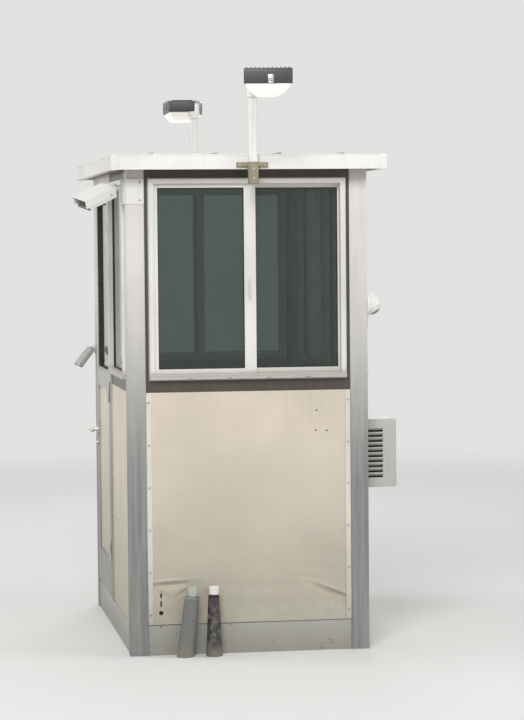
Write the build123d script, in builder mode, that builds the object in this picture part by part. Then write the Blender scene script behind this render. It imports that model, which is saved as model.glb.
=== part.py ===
from build123d import *
import os
from math import cos, pi, radians, sin

# Security guard booth: welded base, corner posts, sheet panels, white sliding
# windows in dark surrounds, a half glazed side door and a flat overhanging roof.
# Millimetres. X runs to the right seen from the front, Y to the back, Z up.
# The origin is on the ground under the middle of the booth.

os.makedirs("parts", exist_ok=True)

# Overall sizes
width = 1220
depth = 1830
fascia_low = 2432
roof_height = 74
roof_side = 80
roof_front = 109

# Posts
post = 91
post_wall = 3
post_radius = 5
door_post_width = 60
door_post_depth = 72

# Base and floor
base_height = 150
base_flange = 50
base_web = 6
cross_width = 60
cross_wall = 5
cross_inset = 355
floor_thick = 5

# Walls
wall_set = 6
wall_thick = 44
panel_top = 1322
strip_width = 26
strip_thick = 2

# Window units
surround_lip = 8
surround_side = 32
surround_low = 75
surround_high = 56
surround_radius = 14
flange_margin = 12
flange_proud = 18
flange_chamfer = 2
frame_face = 27
frame_body_gap = 1
frame_depth = 58
sill_nose = 12
sill_height = 16
sill_slope = 7
sash_thick = 22
sash_gap = 4
sash_fit = 0.5
slide_stile = 19
fixed_stile = 7
meeting_stile = 59
meeting_lap = 41
meeting_offset = 13
rail_high = 20
rail_low = 25
glass_thick = 6

# Door
door_thick = 44
door_hinge_gap = 5
door_latch_gap = 8
door_foot_gap = 5
door_head_gap = 5
door_header = 50
threshold = 5
threshold_overlap = 10
stop_thick = 12
stop_width = 15
stop_gap = 5
door_stile = 84
door_rail_high = 84
door_rail_mid = 96
door_rail_low = 190
door_panel_thick = 24
bead_width = 12
bead_set = 5
hinge_height = 100
hinge_inset = 250
hinge_radius = 7
hinge_pin = 4
hinge_play = 0.08
hinge_slack = 1
hinge_clear = 1
hinge_leaf = 3
hinge_leaf_width = 20
lever_height = 1020
lever_backset = 58
lever_length = 118
lever_radius = 9
lever_stand = 52
rose_radius = 26
rose_thick = 9

# Roof
fascia_sheet = 3
fascia_return = 28
soffit_thick = 4
deck_drop = 12
deck_crown = 9
deck_slope = 320
cap_reach = 31
cap_thick = 2
cap_flare = 5
cap_flare_height = 7

# Lamps
pole_radius = 22
pole_offset = 10
pole_stand = 8
pole_top = 2822
socket_wall = 5
socket_low = 2358
socket_top = 2466
plate_width = 160
plate_height = 26
plate_thick = 8
plate_corner = 4
plate_middle = 2453
head_length = 454
head_in = 145
head_out = 235
head_back = 66
head_depth = 82
head_corner = 6
head_shift = 67
head_behind = 36
head_lift = 4
head_yaw = 7.5
lens_margin = 7
lens_start = 84
lens_rim = 6
lens_drop = 40
lens_taper = 37
fitter_radius = 32
fitter_height = 52
fitter_skirt = 38
fitter_play = 0.3

# Box camera
bracket_level = 2328
bracket_width = 78
bracket_height = 129
bracket_thick = 12
bracket_corner = 5
corner_plate = 3
corner_reach = 90
arm_level = 2345
arm_radius = 11
arm_reach = 52
swivel_radius = 16
swivel_height = 36
neck_radius = 9
neck_length = 26
camera_turn = 27
camera_drop = 23
camera_roll = -15
camera_width = 98
camera_height = 58
camera_length = 172
camera_corner = 7
camera_rim = 6
camera_recess = 9
hood_sheet = 3
hood_front = 20
hood_back = 12
hood_side = 40

# Dome camera
dome_radius = 54
dome_level = 1750
dome_foot = 44
dome_tail = 126
dome_tail_start = 36
dome_tip = 4
dome_base_thick = 16
dome_collar = 8
dome_steps = 7

# Side camera
side_level = 1470
side_seat_radius = 26
side_seat_thick = 8
side_arm = 9
side_reach = 30
side_joint = 13
side_joint_height = 30
side_radius = 26
side_length = 122
side_drop = 52
side_turn = 10

# Air conditioner
ac_setback = 59
ac_length = 560
ac_low = 808
ac_height = 350
ac_out = 177
ac_in = 120
ac_gap = 3
ac_corner = 6
ac_flange = 22
ac_flange_thick = 4
grille_margin = 28
grille_depth = 14
grille_gap = 1
grille_rim = 12
grille_set = 2
slat_count = 11
slat_thick = 5
louvre_start = 14
louvre_length = 92
louvre_slot = 18
louvre_pitch = 26
louvre_count = 10
louvre_depth = 16

# Conduit risers
riser_left_in = 213
riser_right_in = 323
riser_foot_left = 42
riser_foot_right = 42
riser_taper_left = 1.2
riser_taper_right = 2.7
riser_lean = 7
riser_height = 300
riser_stand = 60
riser_bury = 12
elbow_radius = 25
elbow_height = 52
elbow_round = 8
elbow_taper = 40
nipple_radius = 17

# Derived sizes
half_width = width / 2
half_depth = depth / 2
floor_top = base_height + floor_thick
wall_top = fascia_low + fascia_sheet
roof_top = fascia_low + roof_height
roof_x = width + 2 * roof_side
roof_y = depth + 2 * roof_front
half_front = half_width - post
half_side = half_depth - post
half_door_post = door_post_width / 2
post_line = half_depth - post / 2

# Wall planes: x along the wall to the right seen from outside, y up, z outwards
front = Plane(origin=(0, -half_depth, 0), x_dir=(1, 0, 0), z_dir=(0, -1, 0))
rear = Plane(origin=(0, half_depth, 0), x_dir=(-1, 0, 0), z_dir=(0, 1, 0))
left = Plane(origin=(-half_width, 0, 0), x_dir=(0, -1, 0), z_dir=(-1, 0, 0))
right = Plane(origin=(half_width, 0, 0), x_dir=(0, 1, 0), z_dir=(1, 0, 0))


def save(piece, label):
    piece.part.label = label
    export_step(piece.part, "parts/" + label + ".step")


def span(u_range, v_range, mode=Mode.ADD):
    """Rectangle of the current sketch, from its lowest to its highest corner."""
    with Locations(((u_range[0] + u_range[1]) / 2, (v_range[0] + v_range[1]) / 2)):
        Rectangle(u_range[1] - u_range[0], v_range[1] - v_range[0], mode=mode)


def grown(ranges, margin):
    """Both ranges of a rectangle, made larger all round by a margin."""
    return tuple((low - margin, high + margin) for low, high in ranges)


def ring_face(plane, outer, inner):
    """Flat ring between two rectangles on a plane."""
    with BuildSketch(plane) as face:
        span(*outer)
        span(*inner, mode=Mode.SUBTRACT)
    return face.sketch


# Base channels between the posts, webs outwards: the kick band
with BuildPart() as base_channels:
    for wall, reach in ((front, half_front), (rear, half_front), (left, half_side), (right, half_side)):
        run_start = wall.origin - wall.x_dir * reach
        with BuildSketch(Plane(origin=run_start, x_dir=wall.z_dir, z_dir=wall.x_dir * -1)):
            span((-wall_set - base_flange, -wall_set), (0, base_height))
            span(
                (-wall_set - base_flange, -wall_set - base_web),
                (base_web, base_height - base_web),
                mode=Mode.SUBTRACT,
            )
        extrude(amount=-2 * reach)
save(base_channels, "base_channels")

# Cross members of square tube between the side channels
cross_reach = half_width - wall_set - base_flange
with BuildPart() as base_cross_members:
    with BuildSketch(Plane.YZ.offset(-cross_reach)):
        with Locations((0, base_height / 2)):
            with GridLocations(half_depth - cross_inset, 1, 3, 1):
                Rectangle(cross_width, base_height)
                Rectangle(cross_width - 2 * cross_wall, base_height - 2 * cross_wall, mode=Mode.SUBTRACT)
    extrude(amount=2 * cross_reach)
save(base_cross_members, "base_cross_members")

# Floor plate, notched round the corner posts and the door post
with BuildPart() as floor_plate:
    with BuildSketch(Plane.XY.offset(base_height)):
        Rectangle(width - 2 * wall_set, depth - 2 * wall_set)
        with GridLocations(width - post, depth - post, 2, 2):
            Rectangle(post, post, mode=Mode.SUBTRACT)
        span(
            (-half_width, -half_width + door_post_depth), (-half_door_post, half_door_post), mode=Mode.SUBTRACT
        )
    extrude(amount=floor_thick)
save(floor_plate, "floor_plate")

# Corner posts, square tube from the ground to the soffit
with BuildPart() as corner_posts:
    with BuildSketch(Plane.XY):
        with GridLocations(width - post, depth - post, 2, 2):
            RectangleRounded(post, post, post_radius)
            Rectangle(post - 2 * post_wall, post - 2 * post_wall, mode=Mode.SUBTRACT)
    extrude(amount=wall_top)
save(corner_posts, "corner_posts")

# Middle post of the left wall, the hinge jamb of the door, on the base channel
with BuildPart() as door_post:
    with BuildSketch(Plane.XY.offset(base_height)):
        with Locations((-half_width + door_post_depth / 2, 0)):
            RectangleRounded(door_post_depth, door_post_width, post_radius)
            Rectangle(door_post_depth - 2 * post_wall, door_post_width - 2 * post_wall, mode=Mode.SUBTRACT)
    extrude(amount=wall_top - base_height)
save(door_post, "door_post")

# Bays: the clear stretches of each wall between its posts
front_bays = ((-half_front, half_front),)
left_bays = ((half_door_post, half_side),)
right_bays = ((-half_side, 0), (0, half_side))
door_bay = (-half_side, -half_door_post)

# Outside of the air conditioner in its wall
ac_u = (-half_side + ac_setback, -half_side + ac_setback + ac_length)
ac_v = (ac_low, ac_low + ac_height)


def wall_panel(wall, bays, label, hole=None):
    """Insulated panel below the windows, with a cover strip down each edge."""
    u_range = (bays[0][0], bays[-1][1])
    with BuildPart() as panel:
        with BuildSketch(wall.offset(-wall_set)):
            span(u_range, (floor_top, panel_top))
            if hole:
                span(*hole, mode=Mode.SUBTRACT)
        extrude(amount=-wall_thick)
        with BuildSketch(wall.offset(-wall_set)):
            span((u_range[0], u_range[0] + strip_width), (floor_top, panel_top))
            span((u_range[1] - strip_width, u_range[1]), (floor_top, panel_top))
        extrude(amount=strip_thick)
    save(panel, label)


wall_panel(front, front_bays, "front_wall_panel")
wall_panel(rear, front_bays, "rear_wall_panel")
wall_panel(left, left_bays, "left_wall_panel")
wall_panel(right, right_bays, "right_wall_panel", grown((ac_u, ac_v), ac_gap))


def opening_of(bay):
    """Opening of the surround in one window bay."""
    return (
        (bay[0] + surround_side, bay[1] - surround_side),
        (panel_top + surround_low, wall_top - surround_high),
    )


def frame_outer(bay):
    return grown(opening_of(bay), flange_margin)


def frame_inner(bay):
    return grown(frame_outer(bay), -frame_face)


def surround(wall, bays, label):
    """Dark surround that fills the wall above the panel, with rounded lower corners on its lip."""
    u_range = (bays[0][0], bays[-1][1])
    with BuildPart() as piece:
        with BuildSketch(wall.offset(-wall_set - surround_lip)):
            span(u_range, (panel_top, wall_top))
            for bay in bays:
                span(*opening_of(bay), mode=Mode.SUBTRACT)
        extrude(amount=-(wall_thick - surround_lip))
        with BuildSketch(wall.offset(-wall_set - surround_lip)) as lip:
            span(u_range, (panel_top, wall_top))
            fillet(lip.vertices().group_by(Axis.Y)[0], surround_radius)
            for bay in bays:
                span(*opening_of(bay), mode=Mode.SUBTRACT)
        extrude(amount=surround_lip)
    save(piece, label)


def window_frame(wall, bays, label):
    """White frame: flange on the face of the surround, body through it, sloped sill nose below."""
    outward = Axis(wall.origin, wall.z_dir)
    with BuildPart() as piece:
        for bay in bays:
            extrude(ring_face(wall.offset(-wall_set), frame_outer(bay), frame_inner(bay)), amount=flange_proud)
        rim = [edge for face in piece.faces().group_by(outward)[-1] for edge in face.outer_wire().edges()]
        chamfer(rim, flange_chamfer)
        for bay in bays:
            body = grown(opening_of(bay), -frame_body_gap)
            extrude(ring_face(wall.offset(-wall_set), body, frame_inner(bay)), amount=-frame_depth)
            (u_low, u_high), (v_low, v_high) = frame_outer(bay)
            nose_low = v_low + flange_chamfer
            nose_start = wall.origin + wall.x_dir * u_low + wall.z_dir * (flange_proud - wall_set)
            with BuildSketch(Plane(origin=nose_start, x_dir=wall.z_dir, z_dir=wall.x_dir * -1)):
                Polygon(
                    (0, nose_low),
                    (sill_nose, nose_low),
                    (sill_nose, nose_low + sill_height - sill_slope),
                    (0, nose_low + sill_height),
                    align=None,
                )
            extrude(amount=u_low - u_high)
    save(piece, label)


def slider_sashes(wall, bay, label):
    """Two sashes of a sliding window, one behind the other, and their panes."""
    inner = grown(frame_inner(bay), -sash_fit)
    v_glass = (inner[1][0] + rail_low, inner[1][1] - rail_high)
    meet = (meeting_offset - meeting_stile / 2, meeting_offset + meeting_stile / 2)
    outer_plane = wall.offset(-wall_set)
    inner_plane = outer_plane.offset(-sash_thick - sash_gap)
    slide_pane = ((inner[0][0] + slide_stile, meet[0]), v_glass)
    fixed_pane = ((meet[0] + meeting_lap, inner[0][1] - fixed_stile), v_glass)
    with BuildPart() as sashes:
        extrude(ring_face(outer_plane, ((inner[0][0], meet[1]), inner[1]), slide_pane), amount=-sash_thick)
        extrude(ring_face(inner_plane, ((meet[0], inner[0][1]), inner[1]), fixed_pane), amount=-sash_thick)
    save(sashes, label + "_window_sashes")
    with BuildPart() as panes:
        for plane, pane in ((outer_plane, slide_pane), (inner_plane, fixed_pane)):
            with BuildSketch(plane.offset(-(sash_thick - glass_thick) / 2)):
                span(*pane)
            extrude(amount=-glass_thick)
    save(panes, label + "_window_glass")


def fixed_panes(wall, bays, label):
    """Single panes held by their frames."""
    with BuildPart() as panes:
        for bay in bays:
            with BuildSketch(wall.offset(-wall_set - sash_thick / 2)):
                span(*frame_inner(bay))
            extrude(amount=-glass_thick)
    save(panes, label + "_window_glass")


for wall, bays, label in (
    (front, front_bays, "front"),
    (rear, front_bays, "rear"),
    (left, left_bays, "left"),
    (right, right_bays, "right"),
):
    surround(wall, bays, label + "_window_surround")
    window_frame(wall, bays, label + "_window_frame")
slider_sashes(front, front_bays[0], "front")
slider_sashes(rear, front_bays[0], "rear")
fixed_panes(left, left_bays, "left")
fixed_panes(right, right_bays, "right")

# Door frame: header above the leaf and stops behind it
door_u = (door_bay[0] + door_latch_gap, door_bay[1] - door_hinge_gap)
door_v = (floor_top + threshold + door_foot_gap, wall_top - door_header - door_head_gap)
stop_face = -door_thick - stop_gap
stop_inner = (
    (door_bay[0] + stop_width, door_bay[1] - stop_width),
    (floor_top + threshold, wall_top - door_header - stop_width),
)
with BuildPart() as door_frame:
    with BuildSketch(left):
        span(door_bay, (wall_top - door_header, wall_top))
    extrude(amount=stop_face)
    stops = ring_face(left.offset(stop_face), (door_bay, (floor_top + threshold, wall_top)), stop_inner)
    extrude(stops, amount=-stop_thick)
save(door_frame, "door_frame")

with BuildPart() as door_threshold:
    with BuildSketch(left.offset(-wall_set)):
        span(door_bay, (floor_top, floor_top + threshold))
    extrude(amount=-wall_thick - threshold_overlap)
save(door_threshold, "door_threshold")

# Door leaf: welded frame with glazing beads, sheet panel below, tinted pane above
leaf_low = (
    (door_u[0] + door_stile, door_u[1] - door_stile),
    (door_v[0] + door_rail_low, panel_top - door_rail_mid / 2),
)
leaf_high = (
    (door_u[0] + door_stile, door_u[1] - door_stile),
    (panel_top + door_rail_mid / 2, door_v[1] - door_rail_high),
)
pane_face = (door_thick - glass_thick) / 2
with BuildPart() as door_leaf:
    with BuildSketch(left):
        span(door_u, door_v)
        span(*leaf_low, mode=Mode.SUBTRACT)
        span(*leaf_high, mode=Mode.SUBTRACT)
    extrude(amount=-door_thick)
    for bead_plane in (left.offset(-bead_set), left.offset(-door_thick + pane_face)):
        bead = ring_face(bead_plane, leaf_high, grown(leaf_high, -bead_width))
        extrude(bead, amount=-(pane_face - bead_set))
save(door_leaf, "door_leaf")

with BuildPart() as door_panel:
    with BuildSketch(left.offset(-(door_thick - door_panel_thick) / 2)):
        span(*leaf_low)
    extrude(amount=-door_panel_thick)
save(door_panel, "door_panel")

with BuildPart() as door_glass:
    with BuildSketch(left.offset(-pane_face)):
        span(*leaf_high)
    extrude(amount=-glass_thick)
save(door_glass, "door_glass")

# Lever handles on both faces of the leaf
lever_u = door_u[0] + lever_backset
with BuildPart() as door_levers:
    for face, sign in ((left, 1), (left.offset(-door_thick), -1)):
        for radius, reach in ((rose_radius, rose_thick), (lever_radius, lever_stand)):
            with BuildSketch(face):
                with Locations((lever_u, lever_height)):
                    Circle(radius)
            extrude(amount=sign * reach)
        with BuildSketch(face.offset(sign * (lever_stand - lever_radius))):
            with Locations((lever_u + lever_length / 2, lever_height)):
                SlotOverall(lever_length + 2 * lever_radius, 2 * lever_radius)
        extrude(amount=sign * lever_radius)
save(door_levers, "door_levers")

# Hinges: fixed knuckles and pin on the post, one turning knuckle on the leaf
hinge_u = door_bay[1] - door_hinge_gap / 2
hinge_line = left.from_local_coords((hinge_u, 0, hinge_radius + hinge_clear))
hinge_levels = (door_v[0] + hinge_inset, (door_v[0] + door_v[1]) / 2, door_v[1] - hinge_inset)
knuckle = hinge_height / 3


def hinge_flat(u_near, u_far, level, height):
    """Flat of a hinge leaf on the face of the wall, between two places along it."""
    with BuildSketch(left) as flat:
        span((min(u_near, u_far), max(u_near, u_far)), (level - height / 2, level + height / 2))
    return flat.sketch


def hinge_disc(level, radius):
    """Round section about the hinge line, at one level."""
    with BuildSketch(Plane(origin=(hinge_line.X, hinge_line.Y, level))) as disc:
        Circle(radius)
    return disc.sketch


with BuildPart() as hinges_fixed:
    near = hinge_u + hinge_radius + hinge_clear
    for level in hinge_levels:
        extrude(hinge_flat(near, near + hinge_leaf_width, level, hinge_height), amount=hinge_leaf)
        for middle in (level - knuckle, level + knuckle):
            extrude(hinge_flat(hinge_u, near, middle, knuckle), amount=hinge_leaf)
            extrude(hinge_disc(middle - knuckle / 2, hinge_radius), amount=knuckle)
        extrude(hinge_disc(level - knuckle, hinge_pin), amount=2 * knuckle)
save(hinges_fixed, "door_hinges_fixed")

with BuildPart() as hinges_moving:
    near = hinge_u - hinge_radius - hinge_clear
    height = knuckle - 2 * hinge_slack
    for level in hinge_levels:
        extrude(hinge_flat(near, near - hinge_leaf_width, level, hinge_height), amount=hinge_leaf)
        extrude(hinge_flat(hinge_u, near, level, height), amount=hinge_leaf)
        extrude(hinge_disc(level - height / 2, hinge_radius), amount=height)
        extrude(hinge_disc(level - knuckle, hinge_pin + hinge_play), amount=2 * knuckle, mode=Mode.SUBTRACT)
save(hinges_moving, "door_hinges_moving")
print("door hinge axis", hinge_line)

# Roof: soffit sheet, insulated panel with a low crown, folded fascia all round
inner_x = roof_x - 2 * fascia_sheet
inner_y = roof_y - 2 * fascia_sheet
with BuildPart() as roof_soffit:
    with BuildSketch(Plane.XY.offset(wall_top)):
        Rectangle(inner_x, inner_y)
    extrude(amount=soffit_thick)
save(roof_soffit, "roof_soffit")

deck_edge = roof_top - deck_drop
with BuildPart() as roof_panel:
    with BuildSketch(Plane.XY.offset(wall_top + soffit_thick)):
        Rectangle(inner_x, inner_y)
    extrude(amount=deck_edge - wall_top - soffit_thick)
    with BuildSketch(Plane.XY.offset(deck_edge)):
        Rectangle(inner_x - 2 * fascia_return, inner_y - 2 * fascia_return)
    with BuildSketch(Plane.XY.offset(deck_edge + deck_crown)):
        Rectangle(inner_x - 2 * deck_slope, inner_y - 2 * deck_slope)
    loft(ruled=True)
save(roof_panel, "roof_panel")

with BuildPart() as roof_fascia:
    with BuildSketch(Plane.XY.offset(fascia_low)):
        Rectangle(roof_x, roof_y)
        Rectangle(inner_x, inner_y, mode=Mode.SUBTRACT)
    extrude(amount=roof_height)
    for level in (fascia_low, roof_top - fascia_sheet):
        with BuildSketch(Plane.XY.offset(level)):
            Rectangle(roof_x, roof_y)
            Rectangle(roof_x - 2 * fascia_return, roof_y - 2 * fascia_return, mode=Mode.SUBTRACT)
        extrude(amount=fascia_sheet)
    for proud, low, high in (
        (cap_thick, fascia_low - cap_thick, roof_top + cap_thick),
        (cap_flare, fascia_low - cap_thick, fascia_low + cap_flare_height),
    ):
        with BuildSketch(Plane.XY.offset(low)):
            Rectangle(roof_x + 2 * proud, roof_y + 2 * proud)
            Rectangle(roof_x, roof_y, mode=Mode.SUBTRACT)
            Rectangle(roof_x - 2 * cap_reach, roof_y + 2 * cap_reach, mode=Mode.SUBTRACT)
            Rectangle(roof_x + 2 * cap_reach, roof_y - 2 * cap_reach, mode=Mode.SUBTRACT)
        extrude(amount=high - low)
save(roof_fascia, "roof_fascia")

# Lamps, one at the front and its twin turned half round at the rear
fascia_y = -half_depth - roof_front
pole_y = fascia_y - plate_thick - pole_stand - pole_radius
lamp_turns = (Rot(0, 0, 0), Rot(0, 0, 180))
fascia_face = Plane(origin=(pole_offset, fascia_y, plate_middle), x_dir=(1, 0, 0), z_dir=(0, -1, 0))

with BuildPart() as lamp_brackets:
    for turn in lamp_turns:
        with BuildSketch(Plane(turn * fascia_face.location)):
            RectangleRounded(plate_width, plate_height, plate_corner)
        extrude(amount=plate_thick)
        with BuildSketch(Plane(turn * fascia_face.location)):
            Rectangle(2 * pole_radius, plate_height)
        extrude(amount=fascia_y - pole_y)
        with BuildSketch(Plane(turn * Location((pole_offset, pole_y, socket_low)))):
            Circle(pole_radius + socket_wall)
        extrude(amount=socket_top - socket_low)
        with BuildSketch(Plane(turn * Location((pole_offset, pole_y, socket_low + socket_wall)))):
            Circle(pole_radius)
        extrude(amount=socket_top - socket_low, mode=Mode.SUBTRACT)
save(lamp_brackets, "lamp_brackets")

with BuildPart() as lamp_poles:
    for turn in lamp_turns:
        with BuildSketch(Plane(turn * Location((pole_offset, pole_y, socket_low + socket_wall)))):
            Circle(pole_radius)
        extrude(amount=pole_top - socket_low - socket_wall)
save(lamp_poles, "lamp_poles")


def head_outline(half, low, high):
    """Cross section of the lamp head, with its corners cut off."""
    Polygon(
        (-half + head_corner, low),
        (half - head_corner, low),
        (half, low + head_corner),
        (half, high - head_corner),
        (half - head_corner, high),
        (-half + head_corner, high),
        (-half, high - head_corner),
        (-half, low + head_corner),
        align=None,
    )


lamp_hubs = [turn * Location((pole_offset, pole_y, pole_top)) for turn in lamp_turns]
head_aim = Pos(0, 0, head_lift) * Rot(0, 0, -head_yaw)
head_start = Plane(origin=(head_shift, head_behind, 0), x_dir=(1, 0, 0), z_dir=(0, -1, 0))
with BuildPart() as lamp_housings:
    for hub in lamp_hubs:
        start = Plane(hub * head_aim * head_start.location)
        with BuildSketch(start):
            head_outline(head_in / 2, 0, head_back)
        with BuildSketch(start.offset(head_length)):
            head_outline(head_out / 2, 0, head_depth)
        loft(ruled=True)
        with BuildSketch(Plane(hub)):
            Circle(fitter_radius)
        extrude(amount=fitter_height)
        with BuildSketch(Plane(hub)):
            Circle(fitter_radius)
            Circle(pole_radius + fitter_play, mode=Mode.SUBTRACT)
        extrude(amount=-fitter_skirt)
save(lamp_housings, "lamp_housings")

lens_end = head_length - lens_margin
head_growth = (head_out - head_in) / head_length / 2
lens_near = head_in / 2 + head_growth * lens_start - lens_margin
lens_far = head_in / 2 + head_growth * lens_end - lens_margin
with BuildPart() as lamp_lenses:
    for hub in lamp_hubs:
        under = Plane(hub * head_aim * Pos(head_shift, head_behind, 0) * Rot(0, 180, 0))
        for low, drop, taper in ((0, lens_rim, 0), (lens_rim, lens_drop, lens_taper)):
            with BuildSketch(under.offset(low)):
                Polygon(
                    (-lens_near, -lens_start),
                    (lens_near, -lens_start),
                    (lens_far, -lens_end),
                    (-lens_far, -lens_end),
                    align=None,
                )
            extrude(amount=drop, taper=taper)
save(lamp_lenses, "lamp_lenses")

# Box camera high on the left front corner post: corner plate, junction box, arm and swivel
swivel = Location((-half_width - arm_reach, -post_line, arm_level))
aim = swivel * Rot(0, 0, camera_turn) * Rot(0, -90 - camera_drop, 0) * Rot(0, 0, camera_roll)
with BuildPart() as box_camera_bracket:
    with BuildSketch(left):
        with Locations((post_line, bracket_level)):
            RectangleRounded(bracket_width, bracket_height, bracket_corner)
    extrude(amount=bracket_thick)
    with BuildSketch(Plane.XY.offset(bracket_level - bracket_height / 2)):
        with Locations((-half_width - corner_plate, -half_depth - corner_plate)):
            Rectangle(corner_plate + corner_reach, corner_plate + corner_reach, align=Align.MIN)
        with Locations((-half_width, -half_depth)):
            Rectangle(corner_reach, corner_reach, align=Align.MIN, mode=Mode.SUBTRACT)
    extrude(amount=bracket_height)
    with BuildSketch(left):
        with Locations((post_line, arm_level)):
            Circle(arm_radius)
    extrude(amount=arm_reach)
    with BuildSketch(Plane(swivel * Pos(0, 0, -swivel_height / 2))):
        Circle(swivel_radius)
    extrude(amount=swivel_height)
    with BuildSketch(Plane(aim)):
        Circle(neck_radius)
    extrude(amount=neck_length)
save(box_camera_bracket, "box_camera_bracket")

# Camera housing with a recessed window, and a sun hood folded over it
with BuildPart() as box_camera:
    with BuildSketch(Plane(aim * Pos(0, 0, neck_length))):
        RectangleRounded(camera_height, camera_width, camera_corner)
    extrude(amount=camera_length)
    with BuildSketch(Plane(aim * Pos(0, 0, neck_length + camera_length))):
        Rectangle(camera_height - 2 * camera_rim, camera_width - 2 * camera_rim)
    extrude(amount=-camera_recess, mode=Mode.SUBTRACT)
    with BuildSketch(Plane(aim * Pos(0, 0, neck_length + hood_back))):
        with Locations(((camera_height - hood_side + hood_sheet) / 2, 0)):
            Rectangle(hood_side + hood_sheet, camera_width + 2 * hood_sheet)
        Rectangle(camera_height, camera_width, mode=Mode.SUBTRACT)
    extrude(amount=camera_length - hood_back + hood_front)
save(box_camera, "box_camera")

# Dome camera on the right front corner post, on a tapered wall box
dome_seat = right.location * Pos(-post_line, dome_level, 0)
dome_low = dome_base_thick + dome_collar
dome_arc = []
for step in range(dome_steps):
    turn = pi / 2 * step / dome_steps
    dome_arc.append((dome_radius * cos(turn), dome_low + dome_radius * sin(turn)))
with BuildPart() as dome_camera:
    with BuildSketch(Plane(dome_seat)):
        Circle(dome_radius)
    extrude(amount=dome_base_thick)
    with BuildSketch(Plane(dome_seat * Rot(0, 90, 0))):
        Polygon(
            (0, -dome_tail),
            (-dome_tip, -dome_tail),
            (-dome_base_thick, -dome_tail_start),
            (0, -dome_tail_start),
            align=None,
        )
    extrude(amount=dome_foot / 2, both=True)
    with BuildSketch(Plane(dome_seat * Rot(90, 0, 0))):
        Polygon(
            (0, dome_base_thick),
            (dome_radius, dome_base_thick),
            *dome_arc,
            (0, dome_low + dome_radius),
            align=None,
        )
    revolve(axis=Axis(Plane(dome_seat).origin, Plane(dome_seat).z_dir))
save(dome_camera, "dome_camera")

# Small camera on the left rear corner post, looking down and forward
side_seat = left.location * Pos(-post_line, side_level, 0)
side_hub = side_seat * Pos(0, 0, side_reach)
side_look = side_hub * Rot(0, side_turn, 0) * Rot(side_drop, 0, 0)
with BuildPart() as side_camera:
    for radius, reach in ((side_seat_radius, side_seat_thick), (side_arm, side_reach)):
        with BuildSketch(Plane(side_seat)):
            Circle(radius)
        extrude(amount=reach)
    with BuildSketch(Plane(side_hub * Rot(90, 0, 0) * Pos(0, 0, -side_joint_height / 2))):
        Circle(side_joint)
    extrude(amount=side_joint_height)
    with BuildSketch(Plane(side_look)):
        Circle(side_radius)
    extrude(amount=side_length)
save(side_camera, "side_camera")

# Air conditioner through the right wall: casing with louvred sides and a wall flange
ac_middle = (ac_v[0] + ac_v[1]) / 2
with BuildPart() as ac_casing:
    with BuildSketch(right.offset(ac_out)):
        span(ac_u, ac_v)
    extrude(amount=-(ac_out + ac_in))
    chamfer(ac_casing.faces().sort_by(Axis.X)[-1].edges(), ac_corner)
    with BuildSketch(right.offset(-wall_set)):
        span(*grown((ac_u, ac_v), ac_flange))
    extrude(amount=ac_flange_thick)
    with BuildSketch(right.offset(ac_out)):
        span(*grown((ac_u, ac_v), -grille_margin))
    extrude(amount=-grille_depth, mode=Mode.SUBTRACT)
    for side_y, sign in ((ac_u[0], -1), (ac_u[1], 1)):
        with BuildSketch(Plane(origin=(half_width, side_y, ac_middle), x_dir=(1, 0, 0), z_dir=(0, -1, 0))):
            with Locations((louvre_start + louvre_length / 2, 0)):
                with GridLocations(1, louvre_pitch, 1, louvre_count):
                    Rectangle(louvre_length, louvre_slot)
        extrude(amount=sign * louvre_depth, mode=Mode.SUBTRACT)
save(ac_casing, "air_conditioner_casing")

# Grille over the outer face, a rim with slats across it
grille = grown((ac_u, ac_v), -grille_margin - grille_gap)
grille_field = grown(grille, -grille_rim)
slat_pitch = (grille_field[1][1] - grille_field[1][0]) / (slat_count + 1)
with BuildPart() as ac_grille:
    with BuildSketch(right.offset(ac_out - grille_depth)):
        span(*grille)
        span(*grille_field, mode=Mode.SUBTRACT)
        with Locations(((ac_u[0] + ac_u[1]) / 2, ac_middle)):
            with GridLocations(1, slat_pitch, 1, slat_count):
                Rectangle(grille_field[0][1] - grille_field[0][0] + grille_rim, slat_thick)
    extrude(amount=grille_depth - grille_set)
save(ac_grille, "air_conditioner_grille")

# Conduit risers out of the ground, each with an elbow box into the front panel
riser_y = -half_depth - riser_stand
with BuildPart() as conduit_risers:
    for x_top, lean, foot_radius, taper in (
        (-half_front + riser_left_in, riser_lean, riser_foot_left, riser_taper_left),
        (-half_front + riser_right_in, 0, riser_foot_right, riser_taper_right),
    ):
        top = Location((x_top, riser_y, riser_height)) * Rot(0, lean, 0)
        run = (riser_height + riser_bury) / cos(radians(lean))
        with BuildSketch(Plane(top * Pos(0, 0, -run))):
            Circle(foot_radius)
        extrude(amount=run, taper=taper)
        with BuildSketch(Plane(top)):
            Circle(elbow_radius)
        extrude(amount=elbow_height - elbow_round)
        with BuildSketch(Plane(top * Pos(0, 0, elbow_height - elbow_round))):
            Circle(elbow_radius)
        extrude(amount=elbow_round, taper=elbow_taper)
        with BuildSketch(Plane(origin=(x_top, riser_y, 0), x_dir=(-1, 0, 0), z_dir=(0, 1, 0))):
            with Locations((0, riser_height + elbow_height / 2)):
                Circle(nipple_radius)
        extrude(amount=riser_stand + wall_set)
    split(bisect_by=Plane.XY, keep=Keep.TOP)
save(conduit_risers, "conduit_risers")
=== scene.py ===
import bmesh
import bpy
import math
from mathutils import Matrix, Vector, noise


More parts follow.
